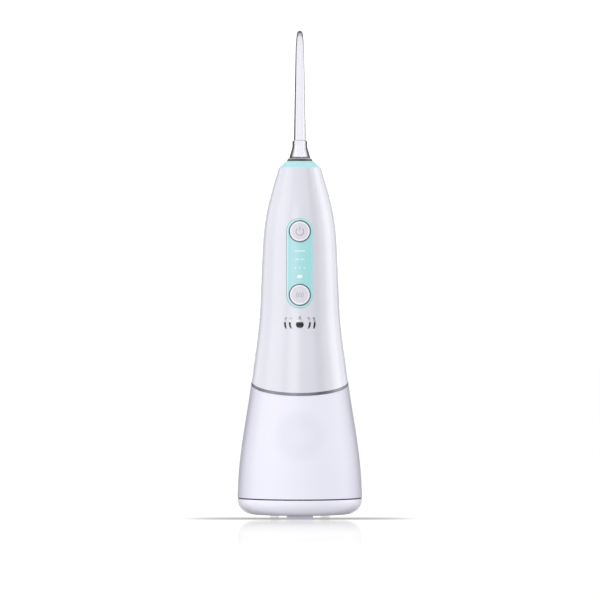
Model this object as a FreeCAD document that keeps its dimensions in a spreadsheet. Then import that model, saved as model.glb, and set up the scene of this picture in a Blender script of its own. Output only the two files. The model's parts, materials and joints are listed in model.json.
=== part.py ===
"""A cordless water flosser: a hand-held handle with a turning nozzle on top and a water tank below.

Frame: millimetres, +Z up, the origin on the floor under the middle of the base, the buttons facing -Y.
The handle and the tank share one outline, lofted through ellipses, and part at a sloping plane, the waist.
Every size lives in the spreadsheet "dims", and each object's sizes are bound to its cells.
"""

import FreeCAD, Part

import math
import os

import Sketcher

Vector = FreeCAD.Vector
doc = FreeCAD.newDocument("water_flosser")
sheet = doc.addObject("Spreadsheet::Sheet", "dims")


# ---------------------------------------------------------------- driving dimensions

# The outline that the handle and the tank share: height above the floor, half width, half depth.
STATIONS = (
    (205.5, 12.45, 12.40),
    (198.0, 14.70, 14.60),
    (187.0, 17.80, 17.50),
    (173.0, 20.60, 20.00),
    (155.0, 22.05, 21.10),
    (134.0, 22.95, 21.80),
    (115.0, 24.00, 22.70),
    (95.0, 26.40, 24.70),
    (76.0, 28.95, 26.80),
    (60.0, 31.40, 28.70),
    (44.0, 33.90, 30.70),
    (28.0, 35.75, 32.20),
    (11.3, 36.65, 33.00),
)

DIMENSIONS = {
    # walls and gaps
    "wall": 2.2,
    "slip": 0.1,
    "running": 0.05,
    # base
    "foot_height": 2.0,
    "foot_width": 15.3,
    "foot_depth": 5.0,
    "foot_reach": 20.5,
    "foot_corner": 1.5,
    "foot_key": 0.8,
    "rear_foot_r": 2.8,
    "rear_foot_x": 15.0,
    "rear_foot_y": 18.0,
    "base_top": 11.3,
    "base_round": 9.0,
    "lip_round": 0.5,
    "seam_gap": 0.7,
    "seam_inset": 0.35,
    "gasket_width": 1.9,
    "base_screw_x": 18.0,
    "base_screw_front": -9.0,
    "base_screw_rear": 16.0,
    "screw_head": 2.2,
    "screw_shank": 0.9,
    "screw_post": 3.1,
    "base_screw_low": 3.6,
    "screw_head_high": 1.4,
    "base_screw_top": 16.6,
    # tank and waist
    "tank_floor": 14.4,
    "waist": 79.6,
    "waist_tilt": 13.8,
    "waist_ring": 1.6,
    "neck_a": 24.75,
    "neck_b": 22.65,
    "neck_foot": 61.0,
    # fill door in the back of the tank
    "door_y": 30.02,
    "door_z": 50.0,
    "door_tilt": 6.8,
    "door_r": 15.0,
    "door_gap": 0.35,
    "door_deep": 5.2,
    "door_pocket_r": 8.8,
    "door_skin": 1.6,
    "door_seat": 5.5,
    "door_boss": 7.5,
    "door_boss_r": 17.5,
    "fill_r": 9.4,
    "door_seal_in": 9.95,
    "door_seal_out": 12.25,
    "door_seal_deep": 5.4,
    "door_seal_high": 1.4,
    "hinge_drop": 16.0,
    "hinge_deep": 2.0,
    "knuckle_half": 5.6,
    "knuckle_r": 1.5,
    "knuckle_room": 1.2,
    "hinge_boss_r": 4.6,
    "door_pin_r": 0.6,
    "door_pin_half": 7.2,
    "thumb_r": 5.0,
    # bulkhead cup under the handle
    "cup_a": 24.4,
    "cup_b": 22.3,
    "cup_wall": 1.9,
    "cup_foot": 63.5,
    "cup_under": 66.5,
    "cup_floor": 68.5,
    "cup_top": 88.0,
    "flange_top": 90.0,
    "flange_inset": 2.3,
    "flange_seal": 0.8,
    "ledge_deep": 4.0,
    "ledge_thick": 1.2,
    "seal_low": 63.9,
    "seal_high": 1.7,
    "seal_deep": 1.3,
    "post_r": 2.4,
    "post_front_x": 7.0,
    "post_front_y": 16.0,
    "post_back_x": -15.0,
    "post_back_y": 12.5,
    # pump
    "pump_z": 74.5,
    "pump_r": 6.0,
    "pump_half": 6.5,
    "piston_r": 4.0,
    "piston_bore": 3.0,
    "piston_skirt": 1.5,
    "piston_crown": 10.0,
    "wrist_x": 6.0,
    "wrist_r": 0.8,
    "wrist_half": 3.6,
    "crank_x": -8.0,
    "rod_half": 1.5,
    "rod_bar": 1.1,
    "rod_eye": 1.85,
    "rod_big_eye": 2.6,
    "cylinder_start": -1.0,
    "cylinder_flange": 8.5,
    "cylinder_end": 11.0,
    "head_end": 20.0,
    "pump_screw_y": 5.0,
    "pump_screw_z": 4.5,
    "pump_screw_r": 0.6,
    "pump_screw_head": 1.1,
    "pump_screw_high": 1.2,
    "line_x": 15.6,
    "channel_r": 1.2,
    "valve_r": 2.3,
    "valve_room": 2.6,
    "valve_thick": 0.6,
    "inlet_valve_z": 70.4,
    "outlet_valve_z": 76.6,
    "valve_room_high": 2.2,
    # water line
    "hose_r": 2.2,
    "hose_bore": 1.35,
    "barb_r": 1.25,
    "barb_bore": 0.75,
    "barb_long": 4.0,
    "hose_top_x": 12.4,
    "hose_shift_low": 150.0,
    "hose_shift_high": 172.0,
    "hose_bend": 4.0,
    "suction_r": 3.0,
    "suction_bore": 2.0,
    "suction_foot": 19.0,
    "filter_foot": 15.8,
    "filter_top": 23.0,
    "filter_r": 4.2,
    "slot_half": 0.6,
    # gears and motor
    "gear_module": 0.4,
    "gear_teeth": 48.0,
    "pinion_teeth": 12.0,
    "gear_low": 81.0,
    "gear_thick": 3.2,
    "gear_x": -11.0,
    "gear_hub": 3.0,
    "crank_pin_r": 1.2,
    "crank_gap": 0.3,
    "axle_r": 1.0,
    "axle_head": 1.8,
    "plate_low": 85.6,
    "plate_high": 87.6,
    "plate_inset": 0.1,
    "plate_screw_head": 1.7,
    "plate_screw_high": 1.1,
    "plate_screw_long": 9.0,
    "motor_x": 1.0,
    "motor_r": 12.2,
    "motor_top": 118.4,
    "motor_wall": 1.0,
    "shaft_r": 1.0,
    "shaft_low": 80.8,
    "armature_r": 8.7,
    "armature_low": 94.0,
    "armature_high": 111.0,
    "magnet_r": 9.2,
    "magnet_gap": 4.0,
    "notch_half": 1.3,
    "bush_r": 2.6,
    "bush_long": 2.0,
    # frame inside the handle
    "spine_half": 9.0,
    "spine_front": -8.4,
    "spine_back": -6.6,
    "shelf_low": 118.6,
    "shelf_thick": 2.0,
    "shelf_a": 19.2,
    "shelf_b": 18.0,
    "top_shelf": 177.0,
    "top_shelf_r": 15.4,
    "cell_r": 9.15,
    "cell_y": 4.7,
    "cell_low": 122.5,
    "cell_high": 172.5,
    "tab_half": 3.5,
    "tab_thick": 0.5,
    # circuit board
    "board_front": -10.6,
    "board_back": -9.4,
    "board_half": 9.0,
    "board_low": 121.5,
    "board_high": 176.5,
    "standoff_r": 1.4,
    "standoff_x": 7.0,
    "switch_half": 3.0,
    "switch_front": -13.6,
    "plunger_front": -14.6,
    "plunger_r": 1.7,
    # control panel
    "panel_half": 7.65,
    "panel_low": 123.1,
    "panel_high": 175.5,
    "panel_proud": 0.18,
    "panel_deep": 1.4,
    "power_z": 167.9,
    "power_face": 20.4,
    "mode_z": 130.8,
    "mode_face": 21.95,
    "bezel_r": 6.45,
    "bezel_bore": 5.95,
    "bezel_proud": 0.32,
    "cap_r": 5.8,
    "cap_proud": 0.45,
    "cap_deep": 2.4,
    "cap_neck": 5.5,
    "cap_lip": 6.8,
    "lip_deep": 3.6,
    "lip_thick": 0.8,
    "stem_r": 1.7,
    "stem_end": -15.3,
    # indicator windows, from the top down
    "window_first": 156.4,
    "window_step": 4.93,
    "window_half": 3.2,
    "window_bar": 0.45,
    "battery_window_z": 141.5,
    "battery_window_half": 1.45,
    "battery_window_bar": 0.8,
    "guide_half": 3.4,
    "guide_low": 139.8,
    "guide_high": 158.0,
    "guide_back": -12.0,
    # emblem
    "emblem_z": 114.4,
    "emblem_proud": 0.12,
    "emblem_deep": 0.6,
    "emblem_half": 3.3,
    "emblem_line": 1.0,
    "emblem_inner": 5.4,
    "emblem_outer": 8.2,
    "drop_half": 3.4,
    "drop_low": -3.0,
    "drop_tip": 4.6,
    "drop_round": 2.1,
    # socket, collar and release
    "socket_r": 6.0,
    "socket_bore": 3.65,
    "socket_low": 186.0,
    "socket_seat": 194.0,
    "socket_top": 202.4,
    "socket_flange_r": 10.0,
    "socket_flange_low": 197.9,
    "socket_flange_top": 199.4,
    "barb_z": 190.0,
    "leg_y": 7.6,
    "leg_r": 1.2,
    "collar_top": 209.3,
    "collar_base": 205.5,
    "collar_r": 12.35,
    "collar_top_r": 8.2,
    "collar_under": 205.2,
    "collar_bore": 5.2,
    "collar_skirt": 10.1,
    "collar_skirt_in": 8.8,
    "collar_skirt_low": 199.5,
    "swivel_r": 7.65,
    "swivel_low": 209.45,
    "swivel_top": 210.3,
    "rim_top": 211.0,
    "rim_r": 6.95,
    "rim_bore": 6.6,
    "swivel_sleeve": 5.1,
    "swivel_bore": 3.6,
    "snap_low": 204.7,
    "snap_high": 205.05,
    "snap_r": 5.4,
    "latch_low": 203.1,
    "latch_top": 204.5,
    "latch_r": 6.5,
    "latch_hole": 3.6,
    "latch_press": 1.5,
    "latch_tail": 2.5,
    "release_half": 4.6,
    "release_low": 197.4,
    "release_high": 204.5,
    "release_proud": 0.6,
    "release_deep": 1.0,
    "release_gap": 0.25,
    "spring_z": 201.35,
    "spring_r": 1.25,
    "spring_end": 12.3,
    "spring_wire": 0.22,
    # nozzle
    "nozzle_foot": 195.0,
    "nozzle_stem": 3.5,
    "nozzle_groove": 2.9,
    "groove_low": 202.9,
    "groove_high": 204.7,
    "nozzle_seal_z": 198.2,
    "nozzle_seal_r": 0.5,
    "nozzle_base": 210.4,
    "flare_r": 6.4,
    "flare_mid_z": 214.4,
    "flare_mid_r": 5.4,
    "neck_z": 217.6,
    "step_z": 221.2,
    "step_r": 4.4,
    "shaft_foot_r": 3.5,
    "shaft_mid_z": 250.0,
    "shaft_mid_r": 3.05,
    "bend_foot": 276.4,
    "bend_foot_r": 2.5,
    "bend_r": 9.0,
    "bend_turn": 72.0,
    "bend_tip_r": 1.75,
    "nozzle_bore": 1.25,
    "jet_bore": 0.5,
    "key_half": 0.6,
    "key_reach": 4.1,
    # charging port in the back of the handle
    "port_z": 104.0,
    "port_half": 6.5,
    "port_half_high": 4.2,
    "port_deep": 2.3,
    "port_pad": 18.5,
    "port_face": 23.75,
    "flap_gap": 0.25,
    "flap_deep": 1.6,
    "bead_r": 0.85,
    "bead_up": 1.5,
    "bead_deep": 1.0,
    "rib_half": 4.0,
    "rib_half_high": 1.1,
    "rib_deep": 2.9,
    "usb_half": 4.47,
    "usb_half_high": 1.6,
    "usb_wall": 0.3,
    "usb_back": 13.6,
    "usb_front": 20.6,
    "tongue_half": 3.3,
    "tongue_half_high": 0.35,
    "charge_board_half": 8.5,
}


class Size:
    """A length that knows its formula: value starts a sketch, and text binds it to the sheet."""

    def __init__(self, value, text):
        self.value = float(value)
        self.text = text

    def joined(self, other, sign, result):
        return Size(result, "(" + self.text + sign + text_of(other) + ")")

    def __add__(self, other):
        return self.joined(other, " + ", self.value + value_of(other))

    def __sub__(self, other):
        return self.joined(other, " - ", self.value - value_of(other))

    def __mul__(self, other):
        return self.joined(other, " * ", self.value * value_of(other))

    def __truediv__(self, other):
        return self.joined(other, " / ", self.value / value_of(other))

    def __rsub__(self, other):
        return Size(other, repr(float(other))) - self

    def __neg__(self):
        return self * -1.0

    __radd__ = __add__
    __rmul__ = __mul__


def value_of(size):
    return size.value if isinstance(size, Size) else float(size)


def text_of(size):
    return size.text if isinstance(size, Size) else repr(float(size))


def cosine(angle):
    return Size(math.cos(math.radians(angle.value)), "cos(" + angle.text + " * 1 deg)")


def sine(angle):
    return Size(math.sin(math.radians(angle.value)), "sin(" + angle.text + " * 1 deg)")


class Dims:
    """Reads a cell of the sheet as a Size: D.wall is 2.2 with the formula dims.wall."""

    def __getattr__(self, alias):
        return Size(sheet.get(alias), "dims." + alias)


D = Dims()


def fill_sheet():
    """Writes the driving dimensions as cells with aliases."""
    cells = dict(DIMENSIONS)
    for number, (height, width, depth) in enumerate(STATIONS, 1):
        cells["station_height_%d" % number] = height
        cells["station_width_%d" % number] = width
        cells["station_depth_%d" % number] = depth
    for row, (alias, number) in enumerate(cells.items(), 1):
        sheet.set("A%d" % row, alias)
        sheet.set("B%d" % row, repr(float(number)))
        sheet.setAlias("B%d" % row, alias)
    doc.recompute()


# ---------------------------------------------------------------- modelling helpers

NODES = {}
counter = {"tools": 0}


def new_name(stem):
    counter["tools"] += 1
    return "%s_%d" % (stem, counter["tools"])


def node(label, obj):
    """Gives a finished sub-part its name and puts it on the list of files to write."""
    obj.Label = label
    NODES[label] = obj
    return obj


def bind(obj, prop, size):
    obj.setExpression(prop, text_of(size))


def put(obj, at):
    for axis, size in zip("xyz", at):
        bind(obj, "Placement.Base." + axis, size)
    return obj


TURNS = {
    "z": (Vector(0, 0, 1), 0.0),
    "x": (Vector(0, 1, 0), 90.0),
    "y": (Vector(1, 0, 0), -90.0),
}


def turn(obj, axis):
    """Points an object that is built along its own Z along x, y or z."""
    obj.Placement = FreeCAD.Placement(Vector(0, 0, 0), FreeCAD.Rotation(*TURNS[axis]))
    return obj


def cylinder(radius, length, at, axis="z"):
    obj = turn(doc.addObject("Part::Cylinder", new_name("cylinder")), axis)
    bind(obj, "Radius", radius)
    bind(obj, "Height", length)
    return put(obj, at)


def block(low, high):
    """A box from one corner to the other."""
    obj = doc.addObject("Part::Box", new_name("block"))
    for prop, a, b in zip(("Length", "Width", "Height"), low, high):
        bind(obj, prop, b - a if isinstance(b, Size) or isinstance(a, Size) else float(b) - float(a))
    return put(obj, low)


def sphere(radius, at):
    obj = doc.addObject("Part::Sphere", new_name("sphere"))
    bind(obj, "Radius", radius)
    return put(obj, at)


def cut(base, *tools):
    for tool in tools:
        result = doc.addObject("Part::Cut", new_name("cut"))
        result.Base, result.Tool = base, tool
        base = result
    return base


def fuse(*shapes):
    result = doc.addObject("Part::MultiFuse", new_name("fuse"))
    result.Shapes = list(shapes)
    return result


def common(*shapes):
    result = doc.addObject("Part::MultiCommon", new_name("common"))
    result.Shapes = list(shapes)
    return result


def group(*shapes):
    """Several separate solids in one node."""
    result = doc.addObject("Part::Compound", new_name("group"))
    result.Links = list(shapes)
    return result


def ellipse_block(half_width, half_depth, low, high):
    """An upright elliptic prism about the Z axis."""
    ring = doc.addObject("Part::Ellipse", new_name("ellipse"))
    bind(ring, "MajorRadius", half_width)
    bind(ring, "MinorRadius", half_depth)
    put(ring, (0.0, 0.0, low))
    solid = doc.addObject("Part::Extrusion", new_name("prism"))
    solid.Base, solid.DirMode, solid.Dir, solid.Solid = ring, "Custom", Vector(0, 0, 1), True
    bind(solid, "LengthFwd", high - low)
    return solid


def ellipse_ring(half_width, half_depth, thick, low, high):
    """An elliptic tube: thick is measured inward from the outer ellipse."""
    outer = ellipse_block(half_width, half_depth, low, high)
    inner = ellipse_block(half_width - thick, half_depth - thick, low - 1.0, high + 1.0)
    return cut(outer, inner)


skins = {}


def skin(offset):
    """The shared outline as one lofted solid, grown by offset (a Size or a number)."""
    key = text_of(offset)
    if key in skins:
        return skins[key]
    rings = []
    for number in range(1, len(STATIONS) + 1):
        ring = doc.addObject("Part::Ellipse", new_name("station"))
        bind(ring, "MajorRadius", getattr(D, "station_width_%d" % number) + offset)
        bind(ring, "MinorRadius", getattr(D, "station_depth_%d" % number) + offset)
        rings.append(put(ring, (0.0, 0.0, getattr(D, "station_height_%d" % number))))
    loft = doc.addObject("Part::Loft", new_name("skin"))
    loft.Sections, loft.Solid, loft.Ruled = rings, True, False
    skins[key] = loft
    return loft


def new_body(plane):
    """A PartDesign body with a sketch on one of its own origin planes."""
    body = doc.addObject("PartDesign::Body", new_name("body"))
    face = [f for f in body.Origin.OriginFeatures if f.Role == plane + "_Plane"][0]
    sketch = body.newObject("Sketcher::SketchObject", new_name("sketch"))
    sketch.AttachmentSupport = [(face, "")]
    sketch.MapMode = "FlatFace"
    return body, sketch


def lock(sketch, item, point, size_x, size_y):
    """Holds a point of a sketch at two bound distances from its origin."""
    for kind, size in (("DistanceX", size_x), ("DistanceY", size_y)):
        index = sketch.addConstraint(Sketcher.Constraint(kind, item, point, value_of(size)))
        bind(sketch, "Constraints[%d]" % index, size)


def corner_points(outline):
    """For each corner: where the line into it ends and the line out of it starts."""
    spots = [Vector(value_of(c[0]), value_of(c[1]), 0) for c in outline]
    ends = []
    for k, spot in enumerate(spots):
        if len(outline[k]) < 3:
            ends.append((spot, spot, None))
            continue
        back = (spots[k - 1] - spot).normalize()
        ahead = (spots[(k + 1) % len(spots)] - spot).normalize()
        half = back.getAngle(ahead) / 2
        radius = value_of(outline[k][2])
        reach = radius / math.tan(half)
        middle = (back + ahead).normalize() * (radius / math.sin(half))
        bulge = spot + middle - (back + ahead).normalize() * radius
        ends.append((spot + back * reach, spot + ahead * reach, bulge))
    return spots, ends


def bend(start, end, middle):
    """A rounded corner as an arc that always runs anticlockwise, as sketches want it."""
    if (middle - start).cross(end - middle).z < 0:
        start, end = end, start
    return Part.Arc(start, middle, end)


def draw(sketch, outline):
    """Draws a closed outline of (x, y) corners, or (x, y, radius) for a rounded one."""
    spots, ends = corner_points(outline)
    count = len(spots)
    for k in range(count):
        line = Part.LineSegment(ends[k][1], ends[(k + 1) % count][0])
        sketch.addGeometry(line, False)
    for k, corner in enumerate(outline):
        before = (k - 1) % count
        if len(corner) < 3:
            sketch.addConstraint(Sketcher.Constraint("Coincident", before, 2, k, 1))
            lock(sketch, k, 1, corner[0], corner[1])
            continue
        arc = sketch.addGeometry(bend(*ends[k]), False)
        spot = sketch.addGeometry(Part.Point(spots[k]), True)
        curve = sketch.Geometry[arc]
        first = 1 if curve.StartPoint.distanceToPoint(ends[k][0]) < 1e-6 else 2
        sketch.addConstraint(Sketcher.Constraint("Tangent", before, 2, arc, first))
        sketch.addConstraint(Sketcher.Constraint("Tangent", arc, 3 - first, k, 1))
        sketch.addConstraint(Sketcher.Constraint("PointOnObject", spot, 1, before))
        sketch.addConstraint(Sketcher.Constraint("PointOnObject", spot, 1, k))
        index = sketch.addConstraint(Sketcher.Constraint("Radius", arc, curve.Radius))
        bind(sketch, "Constraints[%d]" % index, corner[2])
        lock(sketch, spot, 1, corner[0], corner[1])


def turned(outline, at=(0.0, 0.0, 0.0), axis="z"):
    """A lathe-turned piece: outline is (radius, height) corners, spun about its own Z."""
    body, sketch = new_body("XZ")
    draw(sketch, outline)
    spin = body.newObject("PartDesign::Revolution", new_name("revolution"))
    spin.Profile, spin.ReferenceAxis = sketch, (sketch, ["V_Axis"])
    spin.Angle = 360.0
    sketch.Visibility = False
    return put(turn(body, axis), at)


def padded(plane, outline, length, at=(0.0, 0.0, 0.0)):
    """An outline padded off an origin plane: XY goes up, XZ goes to -Y, YZ goes to +X."""
    body, sketch = new_body(plane)
    draw(sketch, outline)
    pad = body.newObject("PartDesign::Pad", new_name("pad"))
    pad.Profile = sketch
    bind(pad, "Length", length)
    return put(body, at)


def rectangle(half_x, half_y, round_off=None):
    """Corners of a rectangle about its centre, with or without rounded corners."""
    corners = [(-half_x, -half_y), (half_x, -half_y), (half_x, half_y), (-half_x, half_y)]
    return corners if round_off is None else [c + (round_off,) for c in corners]


def minus(size):
    return -size


def round_edges(base, radius, chosen):
    """Fillets the edges of base that chosen(edge) accepts."""
    doc.recompute()
    numbers = [k for k, edge in enumerate(base.Shape.Edges, 1) if chosen(edge)]
    result = doc.addObject("Part::Fillet", new_name("fillet"))
    result.Base = base
    result.Edges = [(k, value_of(radius), value_of(radius)) for k in numbers]
    return result


# ---------------------------------------------------------------- shared cutting shapes

REACH = 60.0  # half the size of a block that only cuts
OUTSIDE = 40.0  # a distance from the middle that is well outside the handle
INSIDE = 5.0  # a distance from the middle that is well inside it
BASE = len(STATIONS)


def base_width():
    return getattr(D, "station_width_%d" % BASE)


def base_depth():
    return getattr(D, "station_depth_%d" % BASE)


def slab(low, high):
    """Everything between two heights."""
    return block((-REACH, -REACH, low), (REACH, REACH, high))


def swing(obj, angle):
    """Turns an object about X by a bound angle in degrees."""
    obj.Placement.Rotation = FreeCAD.Rotation(Vector(1, 0, 0), angle.value)
    bind(obj, "Placement.Rotation.Angle", angle)
    return obj


def above_waist(offset):
    """Everything above the sloping waist plane, moved up by offset."""
    plate = padded("XY", rectangle(REACH, REACH), 4 * REACH, (0.0, 0.0, D.waist + offset))
    return swing(plate, D.waist_tilt)


def mirrored_places(x, y):
    return ((x, y), (x, minus(y) if isinstance(y, Size) else -y))


# ---------------------------------------------------------------- fill door frame of reference


def door_lean(obj):
    """Points an object's Z out of the sloping back of the tank."""
    obj.Placement.Rotation = FreeCAD.Rotation(Vector(-1, 0, 0), 90 - D.door_tilt.value)
    bind(obj, "Placement.Rotation.Angle", 90 - D.door_tilt)
    return obj


def door_spot(down, deep):
    """The place that lies down the wall and deep behind its surface from the door's middle."""
    lean = D.door_tilt
    y = D.door_y - cosine(lean) * deep + sine(lean) * down
    z = D.door_z - sine(lean) * deep - cosine(lean) * down
    return (0.0, y, z)


def door_disc(radius, deep, out=8.0):
    """A cylinder square to the wall, from deep behind its surface to well outside it."""
    disc = doc.addObject("Part::Cylinder", new_name("disc"))
    bind(disc, "Radius", radius)
    bind(disc, "Height", deep + out)
    return door_lean(put(disc, door_spot(0.0, deep)))


def hinge_rod(radius, half):
    """A cylinder along the door's hinge axis."""
    spot = door_spot(D.hinge_drop, D.hinge_deep)
    return cylinder(radius, half * 2, (minus(half), spot[1], spot[2]), "x")


# ---------------------------------------------------------------- tank and base


def base_screw_places():
    return (
        (D.base_screw_x, D.base_screw_front),
        (minus(D.base_screw_x), D.base_screw_front),
        (0.0, D.base_screw_rear),
    )


def water_tank():
    block_low = D.base_top + D.seam_gap
    outer = cut(
        common(skin(0.0), slab(block_low, D.waist + REACH)),
        above_waist(minus(D.waist_ring) / 2 - D.slip),
    )
    outer = round_edges(outer, D.lip_round, above(D.neck_foot))
    cavity = common(skin(minus(D.wall)), slab(D.tank_floor, D.neck_foot))
    neck = ellipse_block(D.neck_a, D.neck_b, D.neck_foot, D.waist + REACH)
    boss = common(door_disc(D.door_boss_r, D.door_boss), skin(minus(D.wall) / 2))
    hinge_boss = common(hinge_rod(D.hinge_boss_r, D.door_pin_half + 1.0), skin(minus(D.wall) / 2))
    posts = [
        cylinder(D.screw_post, D.base_screw_top + 1.6 - block_low, (x, y, block_low))
        for x, y in base_screw_places()
    ]
    holes = [
        cylinder(D.screw_shank, D.base_screw_top - block_low + 1.2, (x, y, block_low - 1.0))
        for x, y in base_screw_places()
    ]
    shell = cut(fuse(cut(outer, cavity), boss, hinge_boss, *posts), neck, *holes)
    thumb = door_spot(minus(D.door_r) - 1.6, minus(D.thumb_r) + 1.2)
    shell = cut(
        shell,
        door_disc(D.door_r + D.door_gap, D.door_seat),
        door_disc(D.fill_r, D.door_boss + 2.0),
        hinge_rod(D.knuckle_r + D.knuckle_room, D.knuckle_half + 0.4),
        hinge_rod(D.door_pin_r, D.door_pin_half),
        sphere(D.thumb_r, thumb),
    )
    return node("water_tank", shell)


def fill_door_pin():
    return node("fill_door_pin", hinge_rod(D.door_pin_r, D.door_pin_half))


def fill_door():
    disc = common(door_disc(D.door_r, D.door_deep), skin(0.0))
    pocket = common(door_disc(D.door_pocket_r, D.door_deep + 1.0), skin(minus(D.door_skin)))
    reach = D.hinge_drop - 12.0
    web = padded("XY", rectangle(D.knuckle_half, reach / 2), 2.5, door_spot(12.0 + reach / 2, 3.5))
    groove = turned(
        [
            (D.door_seal_in - 0.05, -1.0),
            (D.door_seal_out + 0.05, -1.0),
            (D.door_seal_out + 0.05, D.door_seal_high - 0.2),
            (D.door_seal_in - 0.05, D.door_seal_high - 0.2),
        ],
        door_spot(0.0, D.door_deep),
    )
    whole = fuse(disc, door_lean(web), hinge_rod(D.knuckle_r, D.knuckle_half))
    bore = hinge_rod(D.door_pin_r + D.running, D.knuckle_half + 1.0)
    return node("fill_door", cut(whole, pocket, door_lean(groove), bore))


def fill_door_gasket():
    ring = turned(
        [
            (D.door_seal_in, 0.0),
            (D.door_seal_out, 0.0, 0.3),
            (D.door_seal_out, D.door_seal_high),
            (D.door_seal_in, D.door_seal_high),
        ],
        door_spot(0.0, D.door_seal_deep),
    )
    return node("fill_door_gasket", door_lean(ring))


def foot_pads(grow, low, high):
    """A wide foot in front and two small round ones behind."""
    outline = rectangle(D.foot_width / 2 + grow, D.foot_depth / 2 + grow, D.foot_corner)
    pads = [padded("XY", outline, high - low, (0.0, minus(D.foot_reach), low))]
    for x in (D.rear_foot_x, minus(D.rear_foot_x)):
        pads.append(cylinder(D.rear_foot_r + grow, high - low, (x, D.rear_foot_y, low)))
    return pads


def at_height(height):
    """Picks the edges of an object that lie at one height."""
    level = value_of(height)
    return lambda edge: abs(edge.BoundBox.ZMax - level) < 1e-4 and abs(edge.BoundBox.ZMin - level) < 1e-4


def above(height):
    """Picks the edges of an object that lie wholly over one height."""
    level = value_of(height)
    return lambda edge: edge.BoundBox.ZMin > level


def tank_base_cover():
    low, floor = D.foot_height, D.foot_height + D.wall
    outer = ellipse_block(base_width(), base_depth(), low, D.base_top)
    outer = round_edges(outer, D.base_round, at_height(low))
    outer = round_edges(outer, D.lip_round, at_height(D.base_top))
    inner = ellipse_block(base_width() - D.wall, base_depth() - D.wall, floor, D.base_top + 1.0)
    inner = round_edges(inner, D.base_round - D.wall, at_height(floor))
    posts, holes = [], []
    for x, y in base_screw_places():
        posts.append(cylinder(D.screw_post, D.base_top - low - 0.5, (x, y, low + 0.5)))
        holes.append(cylinder(D.screw_shank, D.base_top + 1.0 - low, (x, y, low)))
        seat = D.base_screw_low + D.screw_head_high
        holes.append(cylinder(D.screw_head + D.slip, seat - low + 1.0, (x, y, low - 1.0)))
    recesses = foot_pads(D.running, low - 1.0, low + D.foot_key)
    return node("tank_base_cover", cut(fuse(cut(outer, inner), *posts), *holes, *recesses))


def rubber_feet():
    return node("rubber_feet", group(*foot_pads(0.0, Size(0.0, "0"), D.foot_height + D.foot_key)))


def screw(head_r, head_high, shank_r, long):
    """A pan-head screw with a straight slot, its head at the bottom, pointing up."""
    shaft = turned(
        [
            (0.0, 0.0),
            (head_r, 0.0, 0.4),
            (head_r, head_high),
            (shank_r, head_high),
            (shank_r, long),
            (0.0, long),
        ]
    )
    return shaft


def slotted(body, axis, at, head_r):
    """Cuts the driver slot in a screw and sets the screw in place."""
    slot = block((minus(head_r), -0.25, -0.1), (head_r, 0.25, 0.5))
    return put(turn(cut(body, slot), axis), at)


def base_screws():
    screws = []
    for x, y in base_screw_places():
        long = D.base_screw_top - D.base_screw_low
        body = screw(D.screw_head, D.screw_head_high, D.screw_shank, long)
        screws.append(slotted(body, "z", (x, y, D.base_screw_low), D.screw_head))
    return node("base_screws", group(*screws))


def base_seam_gasket():
    ring = ellipse_ring(
        base_width() - D.seam_inset,
        base_depth() - D.seam_inset,
        D.gasket_width,
        D.base_top,
        D.base_top + D.seam_gap,
    )
    posts = [cylinder(D.screw_post, 3.0, (x, y, D.base_top - 1.0)) for x, y in base_screw_places()]
    return node("base_seam_gasket", cut(ring, *posts))


# ---------------------------------------------------------------- waist and bulkhead


def waist_ring():
    ring = cut(
        common(skin(D.running), above_waist(minus(D.waist_ring) / 2)),
        above_waist(D.waist_ring / 2),
        ellipse_block(D.cup_a + D.running, D.cup_b + D.running, D.neck_foot, D.waist + 30.0),
    )
    return node("waist_ring", ring)


def cup_posts():
    places = mirrored_places(D.post_front_x, D.post_front_y)
    return places + mirrored_places(D.post_back_x, D.post_back_y)


def bulkhead_cup():
    inner_a, inner_b = D.cup_a - D.cup_wall, D.cup_b - D.cup_wall
    wall = ellipse_block(D.cup_a, D.cup_b, D.cup_foot, D.flange_top)
    flange = common(slab(D.cup_top, D.flange_top), skin(minus(D.flange_inset)))
    inside = ellipse_block(inner_a, inner_b, D.cup_floor, D.flange_top + 1.0)
    under = ellipse_block(inner_a - 1.0, inner_b - 1.0, D.cup_foot - 1.0, D.cup_under)
    groove = ellipse_ring(
        D.cup_a + 1.0, D.cup_b + 1.0, D.seal_deep + 1.0, D.seal_low - 0.05, D.seal_low + D.seal_high + 0.05
    )
    posts = [
        common(
            cylinder(D.post_r, D.plate_low - D.cup_floor + 0.5, (x, y, D.cup_floor - 0.5)),
            ellipse_block(D.cup_a - 0.5, D.cup_b - 0.5, D.cup_foot, D.plate_low),
        )
        for x, y in cup_posts()
    ]
    threads = [
        cylinder(D.screw_shank, 8.0, (x, y, D.plate_low - 7.0))
        for x, y in cup_posts()
    ]
    pipe = cylinder(D.suction_r, 8.0, (D.line_x, 0.0, D.cup_under - 2.0))
    shell = cut(fuse(wall, flange), inside, under, groove)
    return node("bulkhead_cup", cut(fuse(shell, *posts), pipe, *threads))


def neck_o_ring():
    ring = ellipse_ring(
        D.cup_a + 0.2,
        D.cup_b + 0.2,
        D.seal_deep + 0.2,
        D.seal_low,
        D.seal_low + D.seal_high,
    )
    return node("neck_o_ring", ring)


def bulkhead_seal():
    low, high = D.flange_top, D.flange_top + D.flange_seal
    band = common(slab(low, high), skin(minus(D.flange_inset)))
    inside = ellipse_block(D.cup_a - D.cup_wall, D.cup_b - D.cup_wall, low - 1.0, high + 1.0)
    return node("bulkhead_seal", cut(band, inside))


# ---------------------------------------------------------------- pump


def pump_corners():
    """Screw places in the pump's square end: y and z, four of them."""
    for y in (D.pump_screw_y, minus(D.pump_screw_y)):
        for z in (D.pump_z + D.pump_screw_z, D.pump_z - D.pump_screw_z):
            yield y, z


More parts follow.
